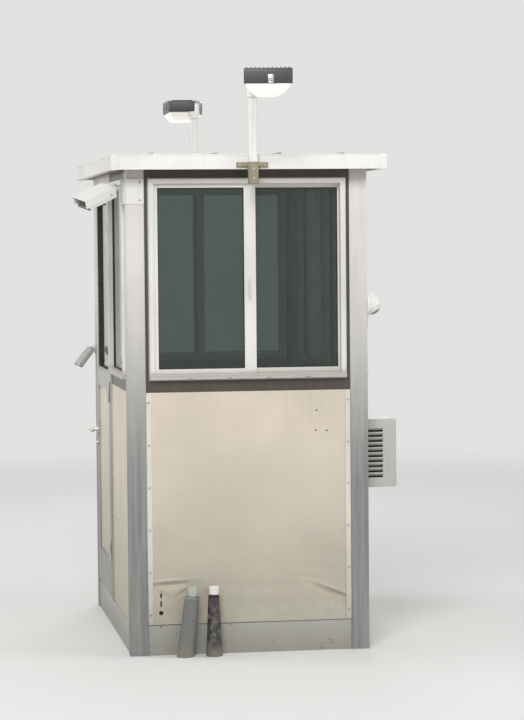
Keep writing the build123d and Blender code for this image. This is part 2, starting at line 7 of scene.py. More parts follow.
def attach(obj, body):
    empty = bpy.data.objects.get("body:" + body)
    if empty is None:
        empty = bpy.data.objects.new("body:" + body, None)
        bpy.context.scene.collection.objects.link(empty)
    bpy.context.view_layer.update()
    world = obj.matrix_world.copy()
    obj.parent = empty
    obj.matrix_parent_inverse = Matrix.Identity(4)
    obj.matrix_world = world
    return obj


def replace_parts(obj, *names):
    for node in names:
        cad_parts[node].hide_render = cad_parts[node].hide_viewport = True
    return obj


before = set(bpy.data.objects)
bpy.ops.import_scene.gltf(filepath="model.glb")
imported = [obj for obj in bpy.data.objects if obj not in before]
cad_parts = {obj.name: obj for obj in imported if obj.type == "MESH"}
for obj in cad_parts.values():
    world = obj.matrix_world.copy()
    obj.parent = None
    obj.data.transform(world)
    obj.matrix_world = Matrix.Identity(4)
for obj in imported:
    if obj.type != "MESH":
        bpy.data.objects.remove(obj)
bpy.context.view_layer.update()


# Base: channels of 6 mm plate between the posts, tied by square tube and welded all round.
# Mild steel in the booth's own paint, greyed by splash, chipped to rust low down.
def feed(tree, node, inputs):
    """Links or sets a shader node's inputs."""
    for socket, value in inputs.items():
        if isinstance(value, bpy.types.NodeSocket):
            tree.links.new(value, node.inputs[socket])
        else:
            node.inputs[socket].default_value = value


def wire(tree, kind, inputs=None, **settings):
    """A new shader node with its settings and inputs. Gives its outputs."""
    node = tree.nodes.new("ShaderNode" + kind)
    for name, value in settings.items():
        setattr(node, name, value)
    feed(tree, node, inputs or {})
    return node.outputs


def eased(tree, value, low, high, start=0.0, end=1.0):
    """Goes from start to end while a value goes from low to high, eased at both ends."""
    return wire(tree, "MapRange", {0: value, 1: low, 2: high, 3: start, 4: end},
                interpolation_type="SMOOTHSTEP")[0]


def times(tree, first, second):
    return wire(tree, "Math", {0: first, 1: second}, operation="MULTIPLY")[0]


def most(tree, first, second):
    return wire(tree, "Math", {0: first, 1: second}, operation="MAXIMUM")[0]


def blended(tree, share, first, second):
    return wire(tree, "Mix", {0: share, 6: first, 7: second}, data_type="RGBA")[2]


def shade(colour, strength=1.0):
    return (colour[0] * strength, colour[1] * strength, colour[2] * strength, 1.0)


def noise_on(tree, place, scale, detail, **more):
    return wire(tree, "TexNoise", {"Vector": place, "Scale": scale, "Detail": detail, **more})[0]


def bumped(tree, height, strength, distance, **more):
    return wire(tree, "Bump", {"Height": height, "Strength": strength, "Distance": distance, **more})[0]


def fresh(name):
    """A new material with its node tree, its shader and the place on the piece."""
    material = bpy.data.materials.new(name)
    material.use_nodes = True
    tree = material.node_tree
    return material, tree, tree.nodes["Principled BSDF"], wire(tree, "TexCoord")["Object"]


def weathered_paint(name, colour, soil_and_shade_top=0.5, soil_and_shade_foot=0.0, soil_and_shade=0.5, runs=0.25, chips=0.0,
                    worn_edges=0.0, roughness=0.42, soil_and_shade_colour=(0.20, 0.185, 0.155), bare=(0.16, 0.085, 0.05),
                    banded=False):
    """Old paint on steel: uneven tone, rain runs, darkening towards the foot (road splash, and on some pieces
    also painted shade), chips and worn edges.
    """
    material, tree, paint, place = fresh(name)
    height = wire(tree, "SeparateXYZ", {0: place})[2]
    cloudy = noise_on(tree, place, 2.6, 5.0)
    combed = wire(tree, "Mapping", {"Vector": place, "Scale": (38.0, 38.0, 1.4)})[0]
    streaky = noise_on(tree, combed, 1.0, 5.0, Roughness=0.6)
    mottled = noise_on(tree, place, 27.0, 6.0, Roughness=0.7)
    peel = noise_on(tree, place, 620.0, 2.0)
    tone = blended(tree, eased(tree, cloudy, 0.32, 0.68), shade(colour, 0.92), shade(colour, 1.03))
    rain = times(tree, eased(tree, streaky, 0.48, 0.8), runs)
    if banded:
        cover = eased(tree, streaky, 0.36, 0.66, 0.82 * soil_and_shade, soil_and_shade)
    else:
        cover = eased(tree, mottled, 0.3, 0.62, 0.84 * soil_and_shade, soil_and_shade)
    # Darkening towards the foot: road splash, and on the wall panels, posts and door also painted shade of
    # light falling off downwards.
    soiled_and_shaded = times(tree, eased(tree, height, soil_and_shade_top, soil_and_shade_foot), cover)
    soil_and_shade_share = most(tree, rain, soiled_and_shaded)
    soiled_and_shaded_tone = blended(tree, soil_and_shade_share, tone, shade(soil_and_shade_colour))
    chip_level = 0.745 - 0.12 * chips
    flaked = times(tree, eased(tree, mottled, chip_level, chip_level + 0.01),
                   eased(tree, height, 1.3, 0.0, 0.15, 1.0))
    softened = wire(tree, "Bevel", {"Radius": 0.003}, samples=4)[0]
    if worn_edges:
        flat = wire(tree, "NewGeometry")["Normal"]
        level = wire(tree, "VectorMath", {0: softened, 1: flat}, operation="DOT_PRODUCT")["Value"]
        rubbed = times(tree, eased(tree, level, 0.985, 0.9), eased(tree, mottled, 0.5, 0.64, 0.0, worn_edges))
        flaked = most(tree, flaked, rubbed)
    sunk, skin = times(tree, flaked, -1.0), times(tree, peel, 0.35)
    relief = wire(tree, "Math", {0: sunk, 1: skin}, operation="ADD")[0]
    feed(tree, paint, {"Base Color": blended(tree, flaked, soiled_and_shaded_tone, shade(bare)),
                       "Roughness": eased(tree, most(tree, soil_and_shade_share, flaked), 0.0, 1.0, roughness, 0.82),
                       "Normal": bumped(tree, relief, 0.35, 0.0006, Normal=softened)})
    return material


def coat(material, *nodes):
    """Gives the material to CAD nodes."""
    for name in nodes:
        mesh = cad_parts[name].data
        mesh.materials.clear()
        mesh.materials.append(material)


def wall_face(origin, along, out):
    """Frame of a wall's face: first along it to the right, then up, then outwards."""
    face = Matrix((Vector(along), Vector((0, 0, 1)), Vector(out))).transposed().to_4x4()
    face.translation = Vector(origin)
    return face


def shifted(face, along=0.0, up=0.0, out=0.0):
    return face @ Matrix.Translation((along, up, out))


def piece(name, bm, material, body="booth"):
    """A finished piece from its mesh, riding on a body."""
    mesh = bpy.data.meshes.new(name)
    bm.to_mesh(mesh)
    bm.free()
    mesh.materials.append(material)
    for face in mesh.polygons:
        face.use_smooth = True
    mesh.set_sharp_from_angle(angle=0.6)
    made = bpy.data.objects.new(name, mesh)
    bpy.context.scene.collection.objects.link(made)
    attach(made, body)
    return made


half_width, half_depth = 0.61, 0.915
front = wall_face((0, -half_depth, 0), (1, 0, 0), (0, -1, 0))
rear = wall_face((0, half_depth, 0), (-1, 0, 0), (0, 1, 0))
left = wall_face((-half_width, 0, 0), (0, -1, 0), (-1, 0, 0))
right = wall_face((half_width, 0, 0), (0, 1, 0), (1, 0, 0))
clear_front, clear_side = 0.519, 0.824  # from a wall's middle to its corner posts

base_paint = weathered_paint("base_paint", (0.452, 0.448, 0.395), soil_and_shade_top=0.26, soil_and_shade=0.55, runs=0.3,
                             chips=0.75, worn_edges=0.7, soil_and_shade_colour=(0.215, 0.20, 0.175))
coat(base_paint, "base_channels", "base_cross_members")

weld_metal = weathered_paint("weld_metal", (0.44, 0.42, 0.38), soil_and_shade=0.7, runs=0.3, chips=0.5)
weld_ripple, weld_pitch, weld_count, weld_depth = 0.0036, 0.004, 36, 0.0055
bm = bmesh.new()
for face, reach in ((front, clear_front), (rear, clear_front), (left, clear_side), (right, clear_side)):
    for side in (-1, 1):
        for step in range(weld_count):
            place = shifted(face, side * reach, 0.005 + weld_pitch * step, -weld_depth)
            bmesh.ops.create_icosphere(bm, subdivisions=2, radius=weld_ripple, matrix=place)
piece("base_weld_beads", bm, weld_metal)

# Floor: 5 mm tread plate on the base frame, notched round the posts.
# Bare grey steel, scuffed, its raised lozenges worn brighter.
tread_plate, tree, steel, place = fresh("tread_plate")
studs = None
for turn, shift in ((0.785, 0.0), (-0.785, 0.5)):
    slanted = wire(tree, "Mapping", {"Vector": place, "Rotation": (0, 0, turn), "Location": (shift, 0, 0)})[0]
    stretched = wire(tree, "Mapping", {"Vector": slanted, "Scale": (22.0, 62.0, 0.0)})[0]
    cell = wire(tree, "TexVoronoi", {"Vector": stretched, "Scale": 1.0, "Randomness": 0.0})["Distance"]
    lozenge = eased(tree, cell, 0.34, 0.24)
    studs = lozenge if studs is None else most(tree, studs, lozenge)
upward = wire(tree, "SeparateXYZ", {0: wire(tree, "NewGeometry")["Normal"]})[2]
studs = times(tree, studs, eased(tree, upward, 0.5, 0.9))
scuffs = noise_on(tree, place, 14.0, 6.0)
grey = blended(tree, scuffs, (0.12, 0.12, 0.12, 1), (0.26, 0.26, 0.25, 1))
feed(tree, steel, {"Base Color": blended(tree, times(tree, studs, 0.6), grey, (0.42, 0.42, 0.41, 1)),
                   "Roughness": eased(tree, scuffs, 0.3, 0.7, 0.35, 0.6),
                   "Normal": bumped(tree, studs, 1.0, 0.002), "Metallic": 0.7})
coat(tread_plate, "floor_plate")

# Posts: square tube from the foot to the soffit at the corners, and the door's hinge post.
# Steel, welded to the base, in light grey paint that is rubbed at the corners and darker low down, part dirt
# and part painted shade of the light falling off downwards.
post_paint = weathered_paint("post_paint", (0.70, 0.675, 0.645), soil_and_shade_top=2.1, soil_and_shade_foot=0.75,
                             soil_and_shade=0.93, runs=0.16, chips=0.25, worn_edges=0.55,
                             soil_and_shade_colour=(0.172, 0.182, 0.178), banded=True)
coat(post_paint, "corner_posts", "door_post")

# Wall panels: insulated panels in cream sheet, screwed on under the windows between the posts.
# The front one has been hit: buckled low down at both sides, with old screw holes and a knocked out slot.
# Its darkening towards the foot is part road dirt, part painted shade of the light falling off downwards.
panel_paint = weathered_paint("panel_paint", (0.70, 0.62, 0.515), soil_and_shade_top=1.25, soil_and_shade_foot=0.1,
                              soil_and_shade=0.62, runs=0.14, chips=0.1, soil_and_shade_colour=(0.29, 0.30, 0.225))
coat(panel_paint, "rear_wall_panel", "left_wall_panel", "right_wall_panel", "door_panel")


def dint(u, v, spots):
    """How far the sheet is pushed in at one place."""
    depth = 0.0
    for middle_u, middle_v, long, tall, turn, deep in spots:
        du = (u - middle_u) * math.cos(turn) + (v - middle_v) * math.sin(turn)
        dv = (v - middle_v) * math.cos(turn) - (u - middle_u) * math.sin(turn)
        depth += deep * math.exp(-((du / long) ** 2) - (dv / tall) ** 2)
    return depth


def rounded(bm, edges, offset, segments=2):
    bmesh.ops.bevel(bm, geom=edges, offset=offset, segments=segments, affect="EDGES", profile=0.5,
                    material=-1)


def edges_of(made, corner=0.0):
    """The edges of a new shape, or only those where its faces turn by more than a corner's angle."""
    edges = list({e for v in made["verts"] for e in v.link_edges})
    return [e for e in edges if len(e.link_faces) == 2 and e.calc_face_angle(0) > corner] if corner else edges


def open_edges(bm):
    return [e for e in bm.edges if e.is_boundary]


def grown(made):
    """The vertices that an extrusion has made."""
    return [v for v in made["geom"] if isinstance(v, bmesh.types.BMVert)]


def block(bm, face, *limits, edge=0.0, segments=2):
    """A block in a frame, its edges rounded. Each limit is a pair, or one number that reaches both ways."""
    spans = [(-limit, limit) if isinstance(limit, float) else limit for limit in limits]
    size = [high - low for low, high in spans]
    middle = [(low + high) / 2 for low, high in spans]
    place = shifted(face, *middle) @ Matrix.Diagonal((*size, 1.0))
    made = bmesh.ops.create_cube(bm, size=1.0, matrix=place)
    if edge:
        rounded(bm, edges_of(made), edge, segments)


def rod(bm, face, radius, low, high, edge=0.0, tip=None, segments=32, steps=2):
    """A round bar along a frame's third axis, its rims rounded."""
    made = bmesh.ops.create_cone(bm, cap_ends=True, segments=segments, radius1=radius,
                                 radius2=radius if tip is None else tip, depth=high - low,
                                 matrix=shifted(face, out=(low + high) / 2))
    if edge:
        rounded(bm, edges_of(made, corner=0.8), edge, steps)


def hex_screws(bm, face, across, up, out):
    """Hexagon washer head screws in columns and rows on a face, on top of what stands out that far."""
    for u in across:
        for v in up:
            seat = shifted(face, u, v, out)
            rod(bm, seat, 0.0062, 0.0, 0.0012, tip=0.0056, segments=14)
            seat = seat @ Matrix.Rotation(u * 37 + v * 11, 4, "Z")
            rod(bm, seat, 0.0042, 0.0010, 0.0050, tip=0.0038, segments=6)


# Each buckle: its middle along and up, its half length and half height, its turn and how deep it goes.
buckles = (
    (0.425, 0.311, 0.090, 0.0085, -0.380, -0.0080),
    (0.432, 0.288, 0.095, 0.0150, -0.380, 0.0150),
    (0.460, 0.242, 0.070, 0.0300, -0.200, 0.0060),
    (0.300, 0.372, 0.090, 0.0130, -0.120, 0.0028),
    (-0.415, 0.374, 0.090, 0.0085, 0.060, -0.0070),
    (-0.415, 0.353, 0.090, 0.0135, 0.030, 0.0135),
    (-0.450, 0.312, 0.050, 0.0110, -0.600, 0.0070),
    (-0.335, 0.318, 0.045, 0.0100, 0.550, 0.0055),
    (-0.100, 0.350, 0.200, 0.0260, -0.050, 0.0022),
    (0.120, 0.330, 0.180, 0.0240, 0.060, 0.0022),
    (0.050, 0.235, 0.240, 0.0300, 0.020, 0.0020),
    (-0.100, 0.560, 0.300, 0.0600, 0.060, 0.0018),
    (0.220, 0.820, 0.180, 0.1100, 0.300, 0.0020),
    (-0.280, 1.010, 0.160, 0.0900, -0.400, 0.0016),
)
panel_low, panel_high = 0.155, 1.322
sheet_set, sheet_back, sheet_slack = 0.006, -0.865, 0.0008
held_rim, buckled_below = 0.03, 0.435
bm = bmesh.new()
sheet = shifted(front, 0.0, (panel_low + panel_high) / 2, -sheet_set)
bmesh.ops.create_grid(bm, x_segments=130, y_segments=146, size=0.5,
                      matrix=sheet @ Matrix.Diagonal((2 * clear_front, panel_high - panel_low, 1, 1)))
low_edges = [e for e in bm.edges if (e.verts[0].co.z + e.verts[1].co.z) / 2 < buckled_below]
bmesh.ops.subdivide_edges(bm, edges=low_edges, cuts=1, use_grid_fill=True)
for vertex in bm.verts:
    u, v = vertex.co.x, vertex.co.z
    margin = min(u + clear_front, clear_front - u, v - panel_low, panel_high - v) / held_rim
    hold = min(max(margin, 0.0), 1.0)
    wave = noise.noise((u * 4.0, v * 5.0, 0.3)) + 0.5 * noise.noise((u * 11.0, v * 13.0, 2.3))
    pushed = dint(u, v, buckles) + sheet_slack + 0.0008 * wave
    vertex.co.y += hold * hold * (3 - 2 * hold) * pushed
for vertex in grown(bmesh.ops.extrude_edge_only(bm, edges=open_edges(bm))):
    vertex.co.y = sheet_back
bmesh.ops.holes_fill(bm, edges=open_edges(bm), sides=0)
bmesh.ops.recalc_face_normals(bm, faces=bm.faces)
front_skin = piece("front_panel_skin", bm, panel_paint)
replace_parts(front_skin, "front_wall_panel")

# The strips are paler than the panel: painted highlight along the panel's bent edges.
strip_paint = weathered_paint("strip_paint", (0.74, 0.70, 0.62), soil_and_shade_top=0.7, runs=0.2,
                              chips=0.35, worn_edges=0.5)
strip_inner = 0.493
bm = bmesh.new()
for side in (-1, 1):
    block(bm, front, sorted((side * clear_front, side * strip_inner)), (panel_low, panel_high),
          (-0.0065, -0.004), edge=0.0008, segments=1)
tall_edges = [e for e in bm.edges if abs(e.verts[0].co.z - e.verts[1].co.z) > 0.5]
bmesh.ops.subdivide_edges(bm, edges=tall_edges, cuts=140)
for vertex in bm.verts:
    if vertex.co.x < -0.5:
        vertex.co.y -= 0.0045 * math.exp(-(((vertex.co.z - 0.335) / 0.022) ** 2))
    elif vertex.co.x > 0.5:
        vertex.co.y -= 0.0030 * math.exp(-(((vertex.co.z - 0.285) / 0.018) ** 2))
piece("front_panel_strips", bm, strip_paint)

screw_zinc = weathered_paint("screw_zinc", (0.58, 0.57, 0.54), soil_and_shade_top=0.6, runs=0.3, chips=0.9,
                             roughness=0.36, bare=(0.20, 0.10, 0.05))
screw_zinc.node_tree.nodes["Principled BSDF"].inputs["Metallic"].default_value = 0.6
screw_front, screw_side, screw_door = 0.506, 0.811, 0.043
screw_levels = [0.205 + 0.2135 * step for step in range(6)]
bm = bmesh.new()
for face, lines in ((front, (-screw_front, screw_front)), (rear, (-screw_front, screw_front)),
                    (left, (screw_door, screw_side)), (right, (-screw_side, screw_side))):
    hex_screws(bm, face, lines, screw_levels, -0.004)
piece("panel_screws", bm, screw_zinc)

# The old screw holes and the knocked out slot are dark discs and plates on the sheet: painted shade of the
# hollows behind them.
hole_shade, tree, shadow, place = fresh("hole_shade")
speckled = noise_on(tree, place, 400.0, 2.0)
feed(tree, shadow, {"Base Color": blended(tree, speckled, (0.006, 0.005, 0.005, 1), (0.03, 0.022, 0.016, 1)),
                    "Roughness": 0.9})
slot_u, plug = -0.454, 0.0012
bm = bmesh.new()
for u, v, radius in ((0.346, 1.219, 0.0045), (0.341, 1.118, 0.0045), (0.398, 1.116, 0.0045),
                     (slot_u, 0.214, 0.0125)):
    skin = shifted(front, u, v, -(0.0064 + dint(u, v, buckles) + sheet_slack))
    rod(bm, skin, radius, -plug, plug, tip=radius * 0.9, segments=20)
for low, high in ((0.244, 0.274), (0.278, 0.312)):
    skin = shifted(front, out=-(0.0064 + dint(slot_u, (low + high) / 2, buckles) + sheet_slack))
    block(bm, skin, (slot_u - 0.0045, slot_u + 0.0045), (low, high), plug, edge=0.0010, segments=1)
piece("front_panel_holes", bm, hole_shade)

# Window surrounds: folded dark brown sheet that fills each wall above the panel.
# Satin finish, faintly streaked by rain, with a bead of pale sealant round each window.
# Its dark strip between each window head and the soffit is also painted shade under the roof.
surround_paint = weathered_paint("surround_paint", (0.075, 0.062, 0.050), soil_and_shade=0.0, runs=0.10,
                                 roughness=0.36, soil_and_shade_colour=(0.30, 0.28, 0.24))
windows = {
    "front": (front, ((-0.499, 0.499),)),
    "rear": (rear, ((-0.499, 0.499),)),
    "left": (left, ((0.050, 0.804),)),
    "right": (right, ((-0.804, -0.020), (0.020, 0.804))),
}
window_low, window_high = 1.385, 2.391
coat(surround_paint, *(side + "_window_surround" for side in windows))


def ring(bm, face, across, up, width, out, edge=0.0, spread=0.0):
    """A mitred rectangular ring on a face between two distances outwards, its limits spread all round."""
    across, up = (across[0] - spread, across[1] + spread), (up[0] - spread, up[1] + spread)
    size = (across[1] - across[0], up[1] - up[0], 1.0)
    place = shifted(face, (across[0] + across[1]) / 2, (up[0] + up[1]) / 2, out[0])
    made = bmesh.ops.create_grid(bm, x_segments=1, y_segments=1, size=0.5,
                                 matrix=place @ Matrix.Diagonal((*size, 1.0)))
    field = list({f for v in made["verts"] for f in v.link_faces})
    band = bmesh.ops.inset_region(bm, faces=field, thickness=width, use_boundary=True,
                                  use_even_offset=True)["faces"]
    bmesh.ops.delete(bm, geom=field, context="FACES")
    raised = set(grown(bmesh.ops.extrude_face_region(bm, geom=band)))
    bmesh.ops.translate(bm, verts=list(raised), vec=face.to_3x3() @ Vector((0, 0, out[1] - out[0])))
    bmesh.ops.recalc_face_normals(bm, faces=list({f for v in raised for f in v.link_faces} | set(band)))
    if edge:
        rims = [e for e in {e for v in raised for e in v.link_edges}
                if set(e.verts) <= raised and len(e.link_faces) == 2 and e.calc_face_angle(0) > 0.5]
        rounded(bm, rims, edge)


sealant = weathered_paint("sealant", (0.42, 0.40, 0.36), soil_and_shade_top=1.5, soil_and_shade=0.3, runs=0.3, roughness=0.6)
for side, (face, bays) in windows.items():
    bm = bmesh.new()
    for bay in bays:
        ring(bm, face, bay, (window_low, window_high), 0.0055, (-0.0062, -0.0022), edge=0.0015, spread=0.004)
    piece(side + "_window_sealant", bm, sealant)

# Windows: white frames with two sliding sashes at the front and rear, fixed panes at the sides.
# White painted aluminium, mitred at the corners, with black gaskets, dark green glass and weep slots.
# The frame is darker along its foot, below the sill line.
window_white = weathered_paint("window_white", (0.78, 0.765, 0.73), soil_and_shade_top=1.445, soil_and_shade_foot=1.40,
                               soil_and_shade=0.66, runs=0.14, roughness=0.34, soil_and_shade_colour=(0.33, 0.31, 0.27))
coat(window_white, *(side + "_window_frame" for side in windows), "front_window_sashes", "rear_window_sashes")

tinted_glass, tree, pane, place = fresh("tinted_glass")
smear = noise_on(tree, place, 3.1, 7.0, Roughness=0.65)
combed = wire(tree, "Mapping", {"Vector": place, "Scale": (30.0, 30.0, 1.2)})[0]
drips = noise_on(tree, combed, 1.0, 4.0)
film = times(tree, eased(tree, smear, 0.45, 0.8), eased(tree, drips, 0.4, 0.75, 0.3, 1.0))
feed(tree, pane, {"Base Color": blended(tree, film, (0.25, 0.31, 0.285, 1), (0.30, 0.34, 0.31, 1)),
                  "Roughness": eased(tree, film, 0.0, 1.0, 0.03, 0.16),
                  "Transmission Weight": 0.92, "IOR": 1.45, "Specular IOR Level": 0.22})
coat(tinted_glass, *(side + "_window_glass" for side in windows), "door_glass")

gasket, tree, rubber, place = fresh("gasket_rubber")
dust = noise_on(tree, place, 60.0, 5.0)
dusty = eased(tree, dust, 0.4, 0.75)
feed(tree, rubber, {"Base Color": blended(tree, dusty, (0.012, 0.012, 0.012, 1), (0.07, 0.065, 0.055, 1)),
                    "Roughness": eased(tree, dust, 0.3, 0.7, 0.5, 0.75)})


def turned(face, degrees, axis):
    return face @ Matrix.Rotation(math.radians(degrees), 4, axis)


sash_low, sash_high = 1.4375, 2.3435
sliding_pane, standing_pane = (-0.4525, -0.0165), (0.0245, 0.4645)
frame_lip = 0.027
for side, (face, bays) in windows.items():
    bm = bmesh.new()
    if side in ("front", "rear"):
        for bay, outer in ((sliding_pane, -0.014), (standing_pane, -0.040)):
            inner = outer - 0.010
            ring(bm, face, bay, (sash_low, sash_high), 0.004, (outer, outer + 0.004), edge=0.0012)
            ring(bm, face, bay, (sash_low, sash_high), 0.004, (inner, inner + 0.004))
    else:
        for bay in bays:
            for out in ((-0.017, -0.011), (-0.030, -0.023)):
                ring(bm, face, bay, (window_low, window_high), 0.006, out, edge=0.0015, spread=-frame_lip)
    piece(side + "_window_gaskets", bm, gasket)

# Dark mitre seams at the frame's corners, and the weep slots as dark marks on the sill: painted shade of
# their hollows.
seams_and_weep_shade = weathered_paint("seams_and_weep_shade", (0.20, 0.185, 0.16), soil_and_shade=0.4, runs=0.2, roughness=0.7)
frame_front, sill_top, sill_front = 0.0115, 0.014, 0.0236
for side, (face, bays) in windows.items():
    bm = bmesh.new()
    for bay in bays:
        ring(bm, face, bay, (window_low + sill_top, window_high), 0.006, (frame_front, frame_front + 0.003),
             edge=0.001, spread=-0.003)
        ring(bm, face, bay, (window_low, window_high), 0.006, (frame_front, frame_front + 0.002),
             edge=0.0008, spread=-0.021)
    piece(side + "_window_rims", bm, window_white)
    bm = bmesh.new()
    for low, high in bays:
        for u, inward_u in ((low, 1), (high, -1)):
            for v, inward_v in ((window_low + sill_top, 1), (window_high, -1)):
                mitre = shifted(face, u + inward_u * frame_lip / 2, v + inward_v * frame_lip / 2, 0.0121)
                block(bm, turned(mitre, 45 * inward_u * inward_v, "Z"), 0.0165, 0.0003, 0.0003)
        for share in (-0.3, -0.1, 0.1, 0.3):
            weep = (low + high) / 2 + share * (high - low)
            block(bm, face, (weep - 0.012, weep + 0.012), (window_low + 0.004, window_low + 0.0075),
                  (sill_front, sill_front + 0.0007), edge=0.0003, segments=1)
    piece(side + "_window_seams", bm, seams_and_weep_shade)

# Sash hardware: a cast pull on the sliding sash outside, and a crescent catch on the meeting stile inside.
# White enamelled zinc, held by screws from behind.
pull_enamel = weathered_paint("pull_enamel", (0.70, 0.69, 0.66), soil_and_shade_top=1.5, soil_and_shade=0.3, runs=0.2,
                              chips=0.3, roughness=0.3)
for side in ("front", "rear"):
    face = windows[side][0]
    bm = bmesh.new()
    block(bm, face, (0.003, 0.021), (1.78, 1.90), (-0.006, -0.0035), edge=0.0012)
    block(bm, face, (0.008, 0.016), (1.80, 1.88), (-0.004, 0.0025), edge=0.0024, segments=3)
    catch = shifted(face, 0.006, 1.86, -0.055)
    block(bm, catch, 0.012, 0.035, (-0.004, 0.001), edge=0.002)
    rod(bm, catch, 0.017, -0.013, -0.003, tip=0.015, segments=24)
    tongue = catch @ Matrix.Rotation(0.6, 4, "Z")
    block(bm, tongue, 0.004, (0.0, 0.046), (-0.013, -0.007), edge=0.002)
    piece(side + "_sash_hardware", bm, pull_enamel)

# Door: welded steel leaf, half glazed, on three butt hinges, with a lever and a lock below it.
# Painted like the posts, its lower panel cream, kicked and scuffed at the foot; aluminium threshold.
# Its paint darkens towards the foot like the posts: part dirt, part painted shade of the light falling off
# downwards.
door_paint = weathered_paint("door_paint", (0.66, 0.635, 0.60), soil_and_shade_top=2.0, soil_and_shade_foot=0.6, soil_and_shade=0.75,
                             runs=0.16, chips=0.4, worn_edges=0.55, soil_and_shade_colour=(0.185, 0.193, 0.186), banded=True)
coat(door_paint, "door_leaf", "door_frame")


def brushed_metal(name, colour, roughness=0.3, grain=(4.0, 4.0, 260.0)):
    """Bare metal with drawn lines across the grain's fine axis, and darker stains."""
    material, tree, metal, place = fresh(name)
    drawn = wire(tree, "Mapping", {"Vector": place, "Scale": grain})[0]
    lines = noise_on(tree, drawn, 1.0, 5.0)
    stains = noise_on(tree, place, 21.0, 5.0)
    stained = eased(tree, stains, 0.35, 0.75)
    feed(tree, metal, {"Base Color": blended(tree, stained, shade(colour, 1.05), shade(colour, 0.72)),
                       "Roughness": eased(tree, lines, 0.3, 0.7, roughness, roughness + 0.2),
                       "Normal": bumped(tree, lines, 0.2, 0.0003), "Metallic": 1.0})
    return material


handle_steel = brushed_metal("handle_steel", (0.56, 0.55, 0.53))
threshold_metal = brushed_metal("threshold_metal", (0.52, 0.52, 0.51), roughness=0.4, grain=(260.0, 4.0, 4.0))
coat(handle_steel, "door_hinges_fixed", "door_hinges_moving")
coat(threshold_metal, "door_threshold")

door_latch, door_hinge = -0.819, -0.035
glass_u, glass_v, bead_cover = (-0.732, -0.119), (1.370, 2.296), 0.011
bm = bmesh.new()
for out in ((-0.019, -0.0035), (-0.0405, -0.025)):
    ring(bm, left, glass_u, glass_v, 0.004, out, edge=0.001, spread=-bead_cover)
piece("door_glass_gasket", bm, gasket, body="door")

bm = bmesh.new()
ring(bm, left, (door_latch, door_hinge), (0.166, 2.382), 0.009, (-0.049, -0.0462), edge=0.001)
piece("door_seal", bm, gasket)

lever_u, lever_level, lock_level = 0.758, 1.020, 0.945
leaf_inside = wall_face((-0.566, 0, 0), (0, 1, 0), (1, 0, 0))
bm = bmesh.new()
for face, hinge_side in ((left, 1), (leaf_inside, -1)):
    spindle = shifted(face, -hinge_side * lever_u, lever_level)
    lock = shifted(face, -hinge_side * lever_u, lock_level)
    for seat, radius in ((spindle, 0.026), (lock, 0.019)):
        rod(bm, seat, radius, 0.0, 0.006, edge=0.0014, segments=40)
        rod(bm, seat, radius * 0.86, 0.0, 0.009, edge=0.0014, segments=40)
    rod(bm, spindle, 0.0095, 0.008, 0.044, tip=0.0085, segments=28)
    rod(bm, lock, 0.0085, 0.008, 0.016, tip=0.0080, segments=24)
    block(bm, spindle, sorted((-hinge_side * 0.012, hinge_side * 0.127)), 0.009, (0.038, 0.052),
          edge=0.006, segments=4)
levers = piece("door_lever_set", bm, handle_steel, body="door")
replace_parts(levers, "door_levers")

bm = bmesh.new()
block(bm, left, (-0.8185, -0.8165), (0.94, 1.10), (-0.040, -0.012), edge=0.0004, segments=1)
block(bm, left, (-0.8225, -0.8190), (0.93, 1.11), (-0.044, -0.008), edge=0.0006, segments=1)
piece("door_strike_plate", bm, threshold_metal)

hinge_levels, knuckle_end = (0.415, 1.2725, 2.130), 0.0515
hinge_pin = (-0.618, 0.0325)
for label, body, offset in (("fixed", "booth", 0.018), ("moving", "door", -0.018)):
    bm = bmesh.new()
    for level in hinge_levels:
        for rise in (-0.034, 0.0, 0.034):
            flap = shifted(left, -hinge_pin[1] + offset, level + rise)
            rod(bm, flap, 0.0036, 0.0029, 0.0039, tip=0.0030, segments=16)
        if label == "fixed":
            for end in (-1, 1):
                tip = Matrix.Translation((*hinge_pin, level + end * knuckle_end))
                bmesh.ops.create_uvsphere(bm, u_segments=20, v_segments=10, radius=0.0062,
                                          matrix=tip @ Matrix.Diagonal((1, 1, 0.6, 1)))
    piece("door_hinge_screws_" + label, bm, handle_steel, body=body)

# Roof: soffit sheet under an insulated panel, coloured dark brown as painted shade under the overhang, and a
# folded white fascia with caps at its corners.
# White painted steel, streaked by rain, held by rivets and sealed standing seams.
# The soffit's dark brown is painted shade under the overhang.
soffit_paint = weathered_paint("soffit_paint", (0.27, 0.215, 0.165), soil_and_shade=0.0, runs=0.0, roughness=0.6)
roof_white = weathered_paint("roof_white", (0.84, 0.83, 0.80), soil_and_shade=0.0, runs=0.16, worn_edges=0.25,
                             roughness=0.36, soil_and_shade_colour=(0.42, 0.38, 0.32))
deck_sheet = weathered_paint("deck_sheet", (0.50, 0.50, 0.485), soil_and_shade_top=2.6, soil_and_shade=0.35, runs=0.3,
                             roughness=0.6, soil_and_shade_colour=(0.22, 0.20, 0.165))
coat(soffit_paint, "roof_soffit")
coat(roof_white, "roof_fascia")
coat(deck_sheet, "roof_panel")

roof_half_width, roof_half_depth = 0.69, 1.024
fascia_foot, fascia_top = 2.432, 2.506
deck_level, seam_end = 2.494, 0.985
bm = bmesh.new()
for x in (-0.48, -0.16, 0.16, 0.48):
    seam = Matrix.Translation((x, 0, deck_level))
    block(bm, seam, 0.016, seam_end, (-0.004, 0.0105), edge=0.002)
    block(bm, seam, 0.005, seam_end - 0.005, (0.009, 0.024), edge=0.003)
piece("roof_seams", bm, deck_sheet)

